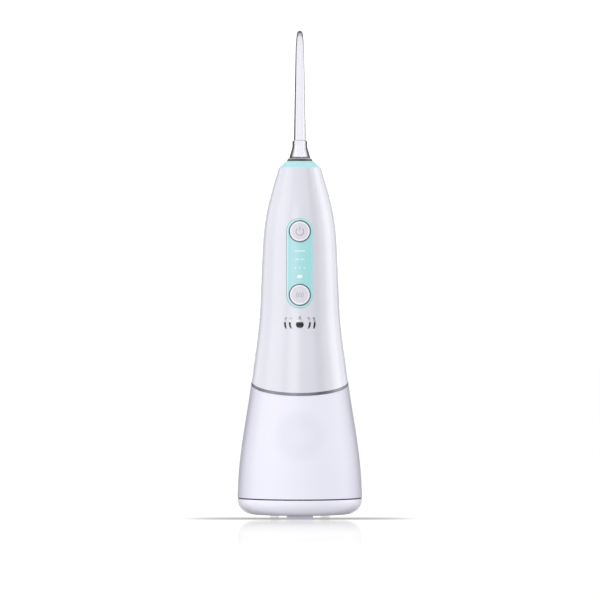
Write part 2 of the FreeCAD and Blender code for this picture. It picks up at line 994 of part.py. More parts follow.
def pump_cylinder():
    start, end = D.cylinder_start, D.cylinder_end
    tube = cylinder(D.pump_r, end - start, (start, 0.0, D.pump_z), "x")
    flange = block(
        (D.cylinder_flange, minus(D.pump_half), D.pump_z - D.pump_r),
        (end, D.pump_half, D.pump_z + D.pump_r),
    )
    bore = cylinder(D.piston_r + D.running, end - start + 2.0, (start - 1.0, 0.0, D.pump_z), "x")
    screws = [
        cylinder(D.pump_screw_r, end - start, (start, y, z), "x")
        for y, z in pump_corners()
    ]
    return node("pump_cylinder", cut(fuse(tube, flange), bore, *screws))


def pump_head():
    start, end, x = D.cylinder_end, D.head_end, D.line_x
    low, high = D.pump_z - D.pump_r, D.pump_z + D.pump_r
    body = block((start, minus(D.pump_half), low), (end, D.pump_half, high))
    spigot = cylinder(D.suction_bore, 6.0, (x, 0.0, low - 6.0))
    barb = cylinder(D.barb_r, D.barb_long, (x, 0.0, high))
    channel = cylinder(D.channel_r, D.pump_r * 2, (x, 0.0, low))
    spigot_bore = cylinder(D.channel_r, 8.0, (x, 0.0, low - 7.0))
    barb_bore = cylinder(D.barb_bore, D.barb_long + 2.0, (x, 0.0, high - 1.0))
    port = cylinder(D.channel_r, x - start + 1.0, (start - 1.0, 0.0, D.pump_z), "x")
    rooms = [
        cylinder(D.valve_room, D.valve_room_high, (x, 0.0, z))
        for z in (D.inlet_valve_z, D.outlet_valve_z)
    ]
    screws = [
        cylinder(D.pump_screw_r, end - start + 2.0, (start - 1.0, y, z), "x")
        for y, z in pump_corners()
    ]
    whole = fuse(body, spigot, barb)
    return node("pump_head", cut(whole, channel, spigot_bore, barb_bore, port, *rooms, *screws))


def check_valves():
    discs = [
        cylinder(D.valve_r, D.valve_thick, (D.line_x, 0.0, z + 0.1))
        for z in (D.inlet_valve_z, D.outlet_valve_z)
    ]
    return node("check_valves", group(*discs))


def pump_screws():
    screws = []
    long = D.head_end - D.cylinder_flange + D.pump_screw_high
    for y, z in pump_corners():
        body = screw(D.pump_screw_head, D.pump_screw_high, D.pump_screw_r, long)
        body = slotted(body, "x", (D.head_end + D.pump_screw_high, y, z), D.pump_screw_head)
        body.Placement.Rotation = FreeCAD.Rotation(Vector(0, 1, 0), -90)
        screws.append(body)
    return node("pump_screws", group(*screws))


def piston():
    skirt, crown, radius = D.piston_skirt, D.piston_crown, D.piston_r
    seal_low, seal_high = crown - 1.5, crown - 0.6
    shape = turned(
        [
            (0.0, crown - 2.0),
            (D.piston_bore, crown - 2.0),
            (D.piston_bore, skirt),
            (radius, skirt),
            (radius, seal_low),
            (radius - 0.8, seal_low),
            (radius - 0.8, seal_high),
            (radius, seal_high),
            (radius, crown, 0.3),
            (0.0, crown),
        ],
        (0.0, 0.0, D.pump_z),
        "x",
    )
    pin = cylinder(D.wrist_r, radius * 2, (D.wrist_x, 0.0, D.pump_z - radius))
    return node("piston", cut(shape, pin))


def piston_seal():
    ring = turned(
        [
            (D.piston_r - 0.8, 0.0),
            (D.piston_r + 0.02, 0.0),
            (D.piston_r + 0.02, 0.8),
            (D.piston_r - 0.8, 0.8),
        ],
        (D.piston_crown - 1.45, 0.0, D.pump_z),
        "x",
    )
    return node("piston_seal", ring)


def wrist_pin():
    pin = cylinder(D.wrist_r, D.wrist_half * 2, (D.wrist_x, 0.0, D.pump_z - D.wrist_half))
    return node("wrist_pin", pin)


def connecting_rod():
    low, high = D.pump_z - D.rod_half, D.pump_z + D.rod_half
    thick = D.rod_half * 2
    small = cylinder(D.rod_eye, thick, (D.wrist_x, 0.0, low))
    big = cylinder(D.rod_big_eye, thick, (D.crank_x, 0.0, low))
    bar = block((D.crank_x, minus(D.rod_bar), low), (D.wrist_x, D.rod_bar, high))
    small_bore = cylinder(D.wrist_r + D.running, thick + 2.0, (D.wrist_x, 0.0, low - 1.0))
    big_bore = cylinder(D.crank_pin_r + D.running, thick + 2.0, (D.crank_x, 0.0, low - 1.0))
    return node("connecting_rod", cut(fuse(small, big, bar), small_bore, big_bore))


# ---------------------------------------------------------------- gears and motor


def gear(teeth, low, thick, at_x, phase):
    """A spur gear with stub teeth: a disc, one padded tooth and a polar pattern of it."""
    module = D.gear_module
    pitch = module * teeth / 2
    root, tip = pitch - module * 1.05, pitch + module * 0.75
    body, disc = new_body("XY")
    disc.addGeometry(Part.Circle(Vector(0, 0, 0), Vector(0, 0, 1), root.value), False)
    disc.addConstraint(Sketcher.Constraint("Coincident", 0, 3, -1, 1))
    index = disc.addConstraint(Sketcher.Constraint("Radius", 0, root.value))
    bind(disc, "Constraints[%d]" % index, root)
    wheel = body.newObject("PartDesign::Pad", new_name("pad"))
    wheel.Profile = disc
    bind(wheel, "Length", thick)
    doc.recompute()
    tooth_sketch = body.newObject("Sketcher::SketchObject", new_name("sketch"))
    tooth_sketch.AttachmentSupport = disc.AttachmentSupport
    tooth_sketch.MapMode = "FlatFace"
    foot, crest = module * 0.9, module * 0.36
    draw(
        tooth_sketch,
        [
            (root - module, minus(foot)),
            (tip, minus(crest)),
            (tip, crest),
            (root - module, foot),
        ],
    )
    tooth = body.newObject("PartDesign::Pad", new_name("pad"))
    tooth.Profile = tooth_sketch
    bind(tooth, "Length", thick)
    doc.recompute()
    ring = body.newObject("PartDesign::PolarPattern", new_name("pattern"))
    ring.Originals = [tooth]
    ring.Axis = (disc, ["N_Axis"])
    ring.Angle = 360.0
    bind(ring, "Occurrences", teeth)
    body.Tip = ring
    put(body, (at_x, 0.0, low))
    body.Placement.Rotation = FreeCAD.Rotation(Vector(0, 0, 1), phase)
    return body


def drive_gear():
    wheel = gear(D.gear_teeth, D.gear_low, D.gear_thick, D.gear_x, 0.0)
    hub = cylinder(D.gear_hub, D.plate_low - D.gear_low - 0.2, (D.gear_x, 0.0, D.gear_low))
    bore = cylinder(D.axle_r + D.running, 8.0, (D.gear_x, 0.0, D.gear_low - 1.0))
    pin = cylinder(D.crank_pin_r, 8.0, (D.crank_x, 0.0, D.gear_low - 1.0))
    return node("drive_gear", cut(fuse(wheel, hub), bore, pin))


def crank_pin():
    low = D.pump_z + D.rod_half + D.crank_gap
    return node("crank_pin", cylinder(D.crank_pin_r, D.gear_low + D.gear_thick - low, (D.crank_x, 0.0, low)))


def gear_axle():
    long = D.plate_high - D.gear_low
    rivet = turned(
        [
            (0.0, -0.8),
            (D.axle_head, -0.8),
            (D.axle_head, -0.2),
            (D.axle_r, -0.2),
            (D.axle_r, long),
            (0.0, long),
        ],
        (D.gear_x, 0.0, D.gear_low),
    )
    return node("gear_axle", rivet)


def gearbox_plate():
    low, high = D.plate_low, D.plate_high
    inset = D.cup_wall + D.plate_inset
    plate = ellipse_block(D.cup_a - inset, D.cup_b - inset, low, high)
    holes = [
        cylinder(D.axle_r, 4.0, (D.gear_x, 0.0, low - 1.0)),
        cylinder(D.bush_r, 4.0, (D.motor_x, 0.0, low - 1.0)),
        cylinder(D.hose_r + D.slip, 4.0, (D.line_x, 0.0, low - 1.0)),
    ]
    for x, y in cup_posts():
        holes.append(cylinder(D.screw_shank, 4.0, (x, y, low - 1.0)))
    return node("gearbox_plate", cut(plate, *holes))


def plate_screws():
    screws = []
    for x, y in cup_posts():
        body = screw(D.plate_screw_head, D.plate_screw_high, D.screw_shank, D.plate_screw_long)
        body = slotted(body, "z", (x, y, D.plate_high + D.plate_screw_high), D.plate_screw_head)
        body.Placement.Rotation = FreeCAD.Rotation(Vector(1, 0, 0), 180)
        screws.append(body)
    return node("plate_screws", group(*screws))


def motor_can():
    low, high, inner = D.plate_high, D.motor_top, D.motor_r - D.motor_wall
    can = turned(
        [
            (D.bush_r, low),
            (D.motor_r, low, 0.8),
            (D.motor_r, high),
            (inner, high),
            (inner, low + D.motor_wall),
            (D.bush_r, low + D.motor_wall),
        ],
        (D.motor_x, 0.0, 0.0),
    )
    return node("motor_can", can)


def motor_end_cap():
    high, inner = D.motor_top, D.motor_r - D.motor_wall
    cap = turned(
        [
            (D.bush_r, high - 1.6),
            (inner, high - 1.6),
            (inner, high),
            (D.bush_r, high),
        ],
        (D.motor_x, 0.0, 0.0),
    )
    return node("motor_end_cap", cap)


def motor_bushings():
    bushes = []
    for low in (D.plate_high - 0.4, D.motor_top - D.bush_long):
        bushes.append(
            turned(
                [
                    (D.shaft_r + D.running, 0.0),
                    (D.bush_r, 0.0),
                    (D.bush_r, D.bush_long),
                    (D.shaft_r + D.running, D.bush_long),
                ],
                (D.motor_x, 0.0, low),
            )
        )
    return node("motor_bushings", group(*bushes))


def motor_magnets():
    inner = D.motor_r - D.motor_wall
    low, high = D.armature_low - 1.0, D.armature_high + 1.0
    ring = turned(
        [(D.magnet_r, low), (inner, low), (inner, high), (D.magnet_r, high)],
        (D.motor_x, 0.0, 0.0),
    )
    gap = block((-REACH, minus(D.magnet_gap), low - 1.0), (REACH, D.magnet_gap, high + 1.0))
    return node("motor_magnets", cut(ring, gap))


def motor_rotor():
    x, low, high = D.motor_x, D.armature_low, D.armature_high
    spindle = cylinder(D.shaft_r, D.motor_top - 0.3 - D.shaft_low, (x, 0.0, D.shaft_low))
    core = cylinder(D.armature_r, high - low, (x, 0.0, low))
    commutator = cylinder(D.bush_r, 3.0, (x, 0.0, high + 0.5))
    collar = cylinder(D.bush_r, high + 1.0 - low, (x, 0.0, low))
    slots = []
    for turn_angle in (0.0, 120.0, 240.0):
        start = (D.bush_r + 1.0, minus(D.notch_half), low - 1.0)
        notch = block(start, (D.armature_r + 1.0, D.notch_half, high + 1.0))
        notch.Placement = FreeCAD.Placement(Vector(0, 0, 0), FreeCAD.Rotation(Vector(0, 0, 1), turn_angle))
        spread = notch_spot(turn_angle)
        slots.append(put(notch, (x + spread[0], spread[1], low - 1.0)))
    return node("motor_rotor", fuse(cut(core, *slots), spindle, commutator, collar))


def notch_spot(turn_angle):
    """Where a slot's corner lies once the slot has turned about the shaft."""
    angle = math.radians(turn_angle)
    reach, half = D.bush_r + 1.0, D.notch_half
    return (
        reach * math.cos(angle) + half * math.sin(angle),
        reach * math.sin(angle) - half * math.cos(angle),
    )


def motor_pinion():
    half_tooth = 180.0 / D.pinion_teeth.value
    wheel = gear(D.pinion_teeth, D.gear_low, D.gear_thick, D.motor_x, half_tooth)
    bore = cylinder(D.shaft_r, 8.0, (D.motor_x, 0.0, D.gear_low - 1.0))
    return node("motor_pinion", cut(wheel, bore))


# ---------------------------------------------------------------- water lines


def route(points):
    """An open path in the XZ plane: (x, z) points, or (x, z, radius) where it bends."""
    ends = corner_points(points)[1]
    body = doc.addObject("Sketcher::SketchObject", new_name("route"))
    body.Placement.Rotation = FreeCAD.Rotation(Vector(1, 0, 0), 90)
    for k in range(len(points) - 1):
        body.addGeometry(Part.LineSegment(ends[k][1], ends[k + 1][0]), False)
        if len(points[k + 1]) == 3:
            body.addGeometry(bend(*ends[k + 1]), False)
    for index, edge in enumerate(body.Geometry):
        body.addConstraint(Sketcher.Constraint("Block", index))
    return body


def pipe_along(path, radius, start):
    """A round solid swept along a route that starts straight up."""
    ring = doc.addObject("Part::Circle", new_name("ring"))
    bind(ring, "Radius", radius)
    put(ring, start)
    sweep = doc.addObject("Part::Sweep", new_name("sweep"))
    sweep.Sections = [ring]
    sweep.Spine = (path, ["Edge%d" % (k + 1) for k in range(len(path.Geometry))])
    sweep.Solid, sweep.Frenet = True, False
    return sweep


def pump_outlet_hose():
    low = D.pump_z + D.pump_r + 0.1
    points = [
        (D.line_x, low),
        (D.line_x, D.hose_shift_low, 30.0),
        (D.hose_top_x, D.hose_shift_high, 30.0),
        (D.hose_top_x, D.barb_z, D.hose_bend),
        (D.socket_r + 0.1, D.barb_z),
    ]
    path = route(points)
    start = (D.line_x, 0.0, low)
    hose = cut(pipe_along(path, D.hose_r, start), pipe_along(path, D.hose_bore, start))
    return node("pump_outlet_hose", hose)


def suction_tube():
    top = D.pump_z - D.pump_r
    tube = turned(
        [
            (D.suction_bore, D.suction_foot),
            (D.suction_r, D.suction_foot),
            (D.suction_r, top),
            (D.suction_bore, top),
        ],
        (D.line_x, 0.0, 0.0),
    )
    return node("suction_tube", tube)


def suction_filter():
    shape = turned(
        [
            (0.0, D.filter_foot),
            (D.filter_r, D.filter_foot, 0.6),
            (D.filter_r, D.filter_top),
            (D.suction_r, D.filter_top),
            (D.suction_r, D.suction_foot),
            (0.0, D.suction_foot),
        ],
        (D.line_x, 0.0, 0.0),
    )
    bore = cylinder(D.suction_bore, 6.0, (D.line_x, 0.0, D.filter_foot + 1.2))
    z, half, reach = D.filter_foot + 1.6, D.slot_half, D.filter_r + 1.0
    slots = [
        block((D.line_x - reach, minus(half), z), (D.line_x + reach, half, z + half * 2)),
        block((D.line_x - half, minus(reach), z), (D.line_x + half, reach, z + half * 2)),
    ]
    return node("suction_filter", cut(shape, bore, *slots))


def nozzle_socket():
    low, seat, top = D.socket_low, D.socket_seat, D.socket_top
    shape = turned(
        [
            (0.0, low),
            (D.socket_r, low, 1.0),
            (D.socket_r, D.socket_flange_low),
            (D.socket_flange_r, D.socket_flange_low),
            (D.socket_flange_r, D.socket_flange_top),
            (D.socket_r, D.socket_flange_top),
            (D.socket_r, top),
            (D.socket_bore, top),
            (D.socket_bore, seat),
            (D.channel_r, seat),
            (D.channel_r, D.barb_z - 1.5),
            (0.0, D.barb_z - 1.5),
        ]
    )
    barb_end = D.hose_top_x - D.hose_bend - D.slip
    barb = cylinder(D.barb_r, barb_end - D.socket_r + 0.5, (D.socket_r - 0.5, 0.0, D.barb_z), "x")
    bore = cylinder(D.barb_bore, barb_end + 1.0, (0.0, 0.0, D.barb_z), "x")
    return node("nozzle_socket", cut(fuse(shape, barb), bore))


# ---------------------------------------------------------------- frame, battery and board


def chassis():
    low, thick, top = D.shelf_low, D.shelf_thick, D.top_shelf
    shelf = ellipse_block(D.shelf_a, D.shelf_b, low, low + thick)
    lid = cylinder(D.top_shelf_r, thick, (0.0, 0.0, top))
    spine = block((minus(D.spine_half), D.spine_front, low), (D.spine_half, D.spine_back, top + 0.5))
    legs = [
        cylinder(D.leg_r, D.socket_flange_low - top, (0.0, y, top))
        for y in (D.leg_y, minus(D.leg_y))
    ]
    standoffs = [
        cylinder(D.standoff_r, D.spine_front - D.board_back, (x, D.board_back, z), "y")
        for x, z in standoff_places()
    ]
    holes = [
        cylinder(D.hose_r + D.slip, 5.0, (D.line_x, 0.0, low - 1.0)),
        cylinder(D.hose_r + D.slip, 5.0, (D.hose_top_x, 0.0, top - 1.0)),
        cylinder(D.bush_r + 0.4, 5.0, (D.motor_x, 0.0, low - 1.0)),
    ]
    return node("chassis", cut(fuse(shelf, lid, spine, *legs, *standoffs), *holes))


def standoff_places():
    for x in (D.standoff_x, minus(D.standoff_x)):
        for z in (D.board_low + 3.0, D.board_high - 2.5):
            yield x, z


def battery_cell():
    low, high = D.cell_low, D.cell_high
    shape = turned(
        [
            (0.0, low),
            (D.cell_r, low, 0.8),
            (D.cell_r, high - 0.8, 0.8),
            (D.tab_half, high - 0.8),
            (D.tab_half, high),
            (0.0, high),
        ],
        (0.0, D.cell_y, 0.0),
    )
    return node("battery_cell", shape)


def battery_tabs():
    tabs = []
    for z in (D.cell_high, D.cell_low - D.tab_thick):
        far = (D.tab_half, D.cell_y + D.tab_half, z + D.tab_thick)
        tabs.append(block((minus(D.tab_half), D.spine_back, z), far))
    return node("battery_tabs", group(*tabs))


def control_board():
    near = (minus(D.board_half), D.board_front, D.board_low)
    return node("control_board", block(near, (D.board_half, D.board_back, D.board_high)))


def board_components():
    """Three mode lights, a battery light, the controller chip, a driver and a coil."""
    front = D.board_front
    chips = []
    for number in range(3):
        z = D.window_first - D.window_step * float(number)
        chips.append(block((-0.8, front - 0.7, z - 0.4), (0.8, front, z + 0.4)))
    chips.append(block((-0.8, front - 0.7, D.battery_window_z - 0.4), (0.8, front, D.battery_window_z + 0.4)))
    chips.append(block((3.4, front - 1.2, 148.0), (8.4, front, 153.0)))
    chips.append(block((-8.2, front - 1.0, 141.0), (-4.4, front, 145.0)))
    chips.append(cylinder(2.4, 1.8, (-5.8, front - 1.8, 151.0), "y"))
    return node("board_components", group(*chips))


def tact_switches():
    switches = []
    for z in button_heights():
        half = D.switch_half
        case = block((minus(half), D.switch_front, z - half), (half, D.board_front, z + half))
        plunger = cylinder(D.plunger_r, D.switch_front - D.plunger_front, (0.0, D.plunger_front, z), "y")
        switches.append(fuse(case, plunger))
    return node("tact_switches", group(*switches))


# ---------------------------------------------------------------- housing and front panel


def stadium(half, low, high, front=-OUTSIDE, back=-INSIDE):
    """An upright rounded slot shape, run along Y through the front wall."""
    middle, reach = (low + high) / 2, (high - low) / 2
    shape = padded("XZ", rectangle(half, reach, half - 0.01), back - front, (0.0, back, middle))
    return shape


def button_hole(radius, z, front=-OUTSIDE, back=-INSIDE):
    return cylinder(radius, back - front, (0.0, front, z), "y")


def button_bore(radius, z):
    """A round hole that runs past both ends of a button_hole."""
    return button_hole(radius, z, -OUTSIDE - 1.0, -INSIDE + 1.0)


def button_heights():
    return D.power_z, D.mode_z


def port_slot(half, half_high, low, high):
    """A box through the back wall about the charging port."""
    z = D.port_z
    return block((minus(half), low, z - half_high), (half, high, z + half_high))


def handle_housing():
    sleeve = cut(common(skin(0.0), above_waist(D.waist_ring / 2)), skin(minus(D.wall)))
    ledge_low = D.flange_top + D.flange_seal
    ledge = cut(common(slab(ledge_low, ledge_low + D.ledge_thick), skin(-1.0)), skin(minus(D.ledge_deep)))
    pad = common(port_slot(D.port_half + 2.5, D.port_half_high + 2.0, D.port_pad, OUTSIDE), skin(-1.0))
    recess = cut(port_slot(D.port_half, D.port_half_high, INSIDE, OUTSIDE), skin(minus(D.port_deep)))
    rib_room = port_slot(D.rib_half + 0.8, D.rib_half_high + 0.9, D.usb_front, OUTSIDE)
    usb_hole = port_slot(D.usb_half, D.usb_half_high, INSIDE, OUTSIDE)
    panel_pocket = cut(stadium(D.panel_half, D.panel_low, D.panel_high), skin(minus(D.panel_deep)))
    light_slot = stadium(D.guide_half, D.guide_low, D.guide_high)
    holes = [button_hole(D.cap_r + D.slip, z) for z in button_heights()]
    holes += [cut(shape, skin(minus(D.emblem_deep))) for shape in emblem_shapes()]
    gap = D.release_gap
    window = block(
        (minus(D.release_half) - gap, INSIDE, D.release_low - gap),
        (D.release_half + gap, OUTSIDE, D.release_high + gap),
    )
    return node(
        "handle_housing",
        cut(fuse(sleeve, ledge, pad), recess, rib_room, usb_hole, panel_pocket, light_slot, window, *holes),
    )


def window_shapes():
    """Pictograms of the three modes and the battery mark, as solids run along Y."""
    bar, half = D.window_bar, D.window_half
    first, step = D.window_first, D.window_step
    shapes = [stadium_bar(0.0, first, half, bar)]
    for x in (half / 2, minus(half) / 2):
        shapes.append(stadium_bar(x, first - step, half / 2 - 0.45, bar))
    for x in (minus(half) + 0.5, 0.0, half - 0.5):
        shapes.append(cylinder(bar + 0.1, OUTSIDE - INSIDE, (x, -OUTSIDE, first - step * 2.0), "y"))
    shapes.append(stadium_bar(0.0, D.battery_window_z, D.battery_window_half, D.battery_window_bar))
    return shapes


def stadium_bar(x, z, half, bar):
    """A lying rounded bar along X, run along Y through the front wall."""
    return padded("XZ", rectangle(half, bar, bar - 0.01), OUTSIDE - INSIDE, (x, -INSIDE, z))


def button_panel():
    gap = D.running
    solid = cut(
        common(stadium(D.panel_half - gap, D.panel_low + gap, D.panel_high - gap), skin(D.panel_proud)),
        skin(minus(D.panel_deep)),
    )
    holes = [button_hole(D.bezel_r, z) for z in button_heights()]
    return node("button_panel", cut(solid, *holes, *window_shapes()))


def indicator_windows():
    shapes = []
    for shape in window_shapes():
        shapes.append(cut(common(shape, skin(D.panel_proud + 0.05)), skin(minus(D.panel_deep))))
    return node("indicator_windows", group(*shapes))


def light_guide():
    gap = D.slip
    bar = stadium(D.guide_half - gap, D.guide_low + gap, D.guide_high - gap, back=D.guide_back)
    return node("light_guide", common(bar, skin(minus(D.panel_deep))))


def button_bezels():
    rings = []
    for z in button_heights():
        ring = cut(button_hole(D.bezel_r, z), button_bore(D.bezel_bore, z))
        rings.append(cut(common(ring, skin(D.bezel_proud)), skin(minus(D.panel_deep))))
    return node("button_bezels", group(*rings))


def button(label, z, face):
    """A cap that follows the handle's curve, with a lip behind the wall and a stem to its switch."""
    back = minus(face) + D.cap_deep
    lip = minus(face) + D.lip_deep
    cap = common(button_hole(D.cap_r, z, -OUTSIDE, back), skin(D.cap_proud))
    neck = cylinder(D.cap_neck, lip - back + 0.2, (0.0, back - 0.1, z), "y")
    plate = cylinder(D.cap_lip, D.lip_thick, (0.0, lip, z), "y")
    stem = cylinder(D.stem_r, D.stem_end - lip, (0.0, lip, z), "y")
    return node(label, fuse(cap, neck, plate, stem))


def emblem_shapes():
    """A water drop between pairs of ripples, as solids run along Y."""
    z = D.emblem_z
    drop = padded(
        "XZ",
        [
            (minus(D.drop_half), D.drop_low, D.drop_round),
            (D.drop_half, D.drop_low, D.drop_round),
            (0.0, D.drop_tip, 0.3),
        ],
        OUTSIDE - INSIDE,
        (0.0, -INSIDE, z),
    )
    band = block((-REACH, -OUTSIDE, z - D.emblem_half), (REACH, -INSIDE, z + D.emblem_half))
    ripples = []
    for radius in (D.emblem_inner, D.emblem_outer):
        outer = button_hole(radius + D.emblem_line, z)
        ripples.append(common(cut(outer, button_bore(radius, z)), band))
    return [drop, *ripples]


def emblem():
    """The emblem is an inlay, sunk in the housing and a little proud of it."""
    shapes = []
    for shape in emblem_shapes():
        shapes.append(cut(common(shape, skin(D.emblem_proud)), skin(minus(D.emblem_deep))))
    return node("emblem", group(*shapes))


# ---------------------------------------------------------------- collar, release, swivel and nozzle


def collar_ring():
    top, base, under, low = D.collar_top, D.collar_base, D.collar_under, D.collar_skirt_low
    shape = turned(
        [
            (D.collar_bore, under),
            (D.collar_skirt_in, under),
            (D.collar_skirt_in, low),
            (D.collar_skirt, low),
            (D.collar_skirt, base),
            (D.collar_r, base),
            (D.collar_top_r, top, 0.5),
            (D.collar_bore, top),
        ]
    )
    half = D.latch_tail + 0.4
    slot = block((minus(half), INSIDE, low - 1.0), (half, D.collar_skirt + 2.0, under))
    return node("collar_ring", cut(shape, slot))


def release_button():
    box = block(
        (minus(D.release_half), INSIDE, D.release_low),
        (D.release_half, OUTSIDE, D.release_high),
    )
    return node("release_button", cut(common(box, skin(D.release_proud)), skin(minus(D.release_deep))))


def latch_plate():
    low, high = D.latch_low, D.latch_top
    ring = cylinder(D.latch_r, high - low, (0.0, 0.0, low))
    bar = block((minus(D.latch_tail), 0.0, low), (D.latch_tail, OUTSIDE, high))
    tail = common(bar, skin(minus(D.release_deep)))
    front = cylinder(D.latch_hole, 5.0, (0.0, 0.0, low - 1.0))
    back = cylinder(D.latch_hole, 5.0, (0.0, D.latch_press, low - 1.0))
    middle = block((minus(D.latch_hole), 0.0, low - 1.0), (D.latch_hole, D.latch_press, high + 1.0))
    return node("latch_plate", cut(fuse(ring, tail), front, back, middle))


def release_spring():
    """A compression spring from the socket to the back of the release button."""
    start, end, radius, wire = D.socket_r + 0.3, D.spring_end, D.spring_r, D.spring_wire
    coils = 6
    helix = doc.addObject("Part::Helix", new_name("helix"))
    bind(helix, "Radius", radius)
    bind(helix, "Pitch", (end - start) / float(coils))
    bind(helix, "Height", end - start)
    ring = doc.addObject("Part::Circle", new_name("ring"))
    bind(ring, "Radius", wire)
    ring.Placement.Rotation = FreeCAD.Rotation(Vector(1, 0, 0), 90)
    put(ring, (radius, 0.0, 0.0))
    coil = doc.addObject("Part::Sweep", new_name("sweep"))
    coil.Sections, coil.Spine = [ring], (helix, ["Edge1"])
    coil.Solid, coil.Frenet = True, True
    return node("release_spring", put(turn(coil, "y"), (0.0, start, D.spring_z)))


def swivel_ring():
    shape = turned(
        [
            (D.swivel_bore, D.snap_low),
            (D.snap_r, D.snap_low),
            (D.snap_r, D.snap_high),
            (D.swivel_sleeve, D.snap_high),
            (D.swivel_sleeve, D.swivel_low),
            (D.swivel_r, D.swivel_low),
            (D.rim_r, D.rim_top, 0.15),
            (D.rim_bore, D.rim_top),
            (D.rim_bore, D.swivel_top),
            (D.swivel_bore, D.swivel_top),
        ]
    )
    slot = block(
        (0.0, minus(D.key_half) - D.slip, D.snap_high + 1.0),
        (D.key_reach + 0.15, D.key_half + D.slip, D.swivel_top + 1.0),
    )
    return node("swivel_ring", cut(shape, slot))


def bend_loft(foot, tip, extra):
    """The nozzle's curved tip, lofted through circles that lean backward and shrink."""
    steps = 6
    rings = []
    for number in range(steps + 1):
        share = number / steps
        angle = D.bend_turn * share
        radius = foot + (tip - foot) * share
        ring = doc.addObject("Part::Circle", new_name("ring"))
        bind(ring, "Radius", radius)
        y = D.bend_r - D.bend_r * cosine(angle)
        z = D.bend_foot + D.bend_r * sine(angle)
        swing(ring, minus(angle))
        rings.append(put(ring, (0.0, y, z)))
    if extra:
        ring = doc.addObject("Part::Circle", new_name("ring"))
        bind(ring, "Radius", tip)
        angle = D.bend_turn
        y = D.bend_r - D.bend_r * cosine(angle) + sine(angle) * extra
        z = D.bend_foot + D.bend_r * sine(angle) + cosine(angle) * extra
        swing(ring, minus(angle))
        rings.append(put(ring, (0.0, y, z)))
    loft = doc.addObject("Part::Loft", new_name("bend"))
    loft.Sections, loft.Solid, loft.Ruled = rings, True, False
    return loft


def nozzle_tip():
    stem = turned(
        [
            (0.0, D.nozzle_foot),
            (D.nozzle_stem, D.nozzle_foot, 0.4),
            (D.nozzle_stem, D.nozzle_seal_z - 0.6),
            (D.nozzle_stem - 1.0, D.nozzle_seal_z - 0.6),
            (D.nozzle_stem - 1.0, D.nozzle_seal_z + 0.6),
            (D.nozzle_stem, D.nozzle_seal_z + 0.6),
            (D.nozzle_stem, D.groove_low),
            (D.nozzle_groove, D.groove_low),
            (D.nozzle_groove, D.groove_high),
            (D.nozzle_stem, D.groove_high),
            (D.nozzle_stem, D.nozzle_base),
            (D.flare_r, D.nozzle_base, 0.25),
            (D.flare_r - 0.1, D.nozzle_base + 0.7, 0.3),
            (D.flare_mid_r, D.flare_mid_z, 8.0),
            (D.step_r, D.neck_z, 5.0),
            (D.step_r, D.step_z, 0.4),
            (D.shaft_foot_r + 0.05, D.step_z + 0.5, 0.3),
            (D.shaft_mid_r, D.shaft_mid_z, 60.0),
            (D.bend_foot_r, D.bend_foot),
            (0.0, D.bend_foot),
        ]
    )
    key = block(
        (0.0, minus(D.key_half), D.snap_high + 1.2),
        (D.key_reach, D.key_half, D.nozzle_base + 0.5),
    )
    bore = cylinder(D.nozzle_bore, D.bend_foot - D.nozzle_foot + 1.0, (0.0, 0.0, D.nozzle_foot - 1.0))
    bend = bend_loft(D.bend_foot_r, D.bend_tip_r, 0.0)
    jet = bend_loft(D.nozzle_bore, D.jet_bore, 1.0)
    return node("nozzle_tip", cut(fuse(stem, key, bend), bore, jet))


def nozzle_o_ring():
    ring = doc.addObject("Part::Torus", new_name("torus"))
    bind(ring, "Radius1", D.nozzle_stem + 0.04 - D.nozzle_seal_r)
    bind(ring, "Radius2", D.nozzle_seal_r)
    return node("nozzle_o_ring", put(ring, (0.0, 0.0, D.nozzle_seal_z)))


# ---------------------------------------------------------------- charging port


def usb_receptacle():
    half, high, wall = D.usb_half, D.usb_half_high, D.usb_wall
    long = D.usb_front - D.usb_back
    shell = padded("XZ", rectangle(half, high, high - 0.05), long, (0.0, D.usb_front, D.port_z))
    room = padded(
        "XZ",
        rectangle(half - wall, high - wall, high - wall - 0.05),
        long - 1.5,
        (0.0, D.usb_front + 0.5, D.port_z),
    )
    tongue = block(
        (minus(D.tongue_half), D.usb_back + 0.5, D.port_z - D.tongue_half_high),
        (D.tongue_half, D.usb_front - 0.8, D.port_z + D.tongue_half_high),
    )
    return node("usb_receptacle", fuse(cut(shell, room), tongue))


def charge_board():
    top = D.port_z - D.usb_half_high
    near = (minus(D.charge_board_half), D.usb_back - 0.4, top - 1.2)
    return node("charge_board", block(near, (D.charge_board_half, D.port_pad, top)))


def charge_flap():
    """A soft cover flush with the handle, with a hinge bead at its foot and a sealing rib."""
    bead_z = D.port_z - D.port_half_high + D.bead_up
    bead_y = D.port_face - D.bead_deep
    half = D.port_half - D.flap_gap
    top = D.port_z + D.port_half_high - D.flap_gap
    slab_box = block((minus(half), INSIDE, bead_z), (half, OUTSIDE, top))
    cover = cut(common(slab_box, skin(0.0)), skin(minus(D.flap_deep)))
    bead = common(
        cylinder(D.bead_r, D.rib_half * 2, (minus(D.rib_half), bead_y, bead_z), "x"),
        skin(0.0),
    )
    rib = cut(
        common(
            port_slot(D.rib_half, D.rib_half_high, D.port_face - D.rib_deep, OUTSIDE),
            skin(-0.5),
        ),
        port_slot(D.rib_half - 0.8, D.rib_half_high - 0.5, INSIDE, D.port_face - D.flap_deep),
    )
    return node("charge_flap", fuse(cover, bead, rib))


# ---------------------------------------------------------------- build, check and write


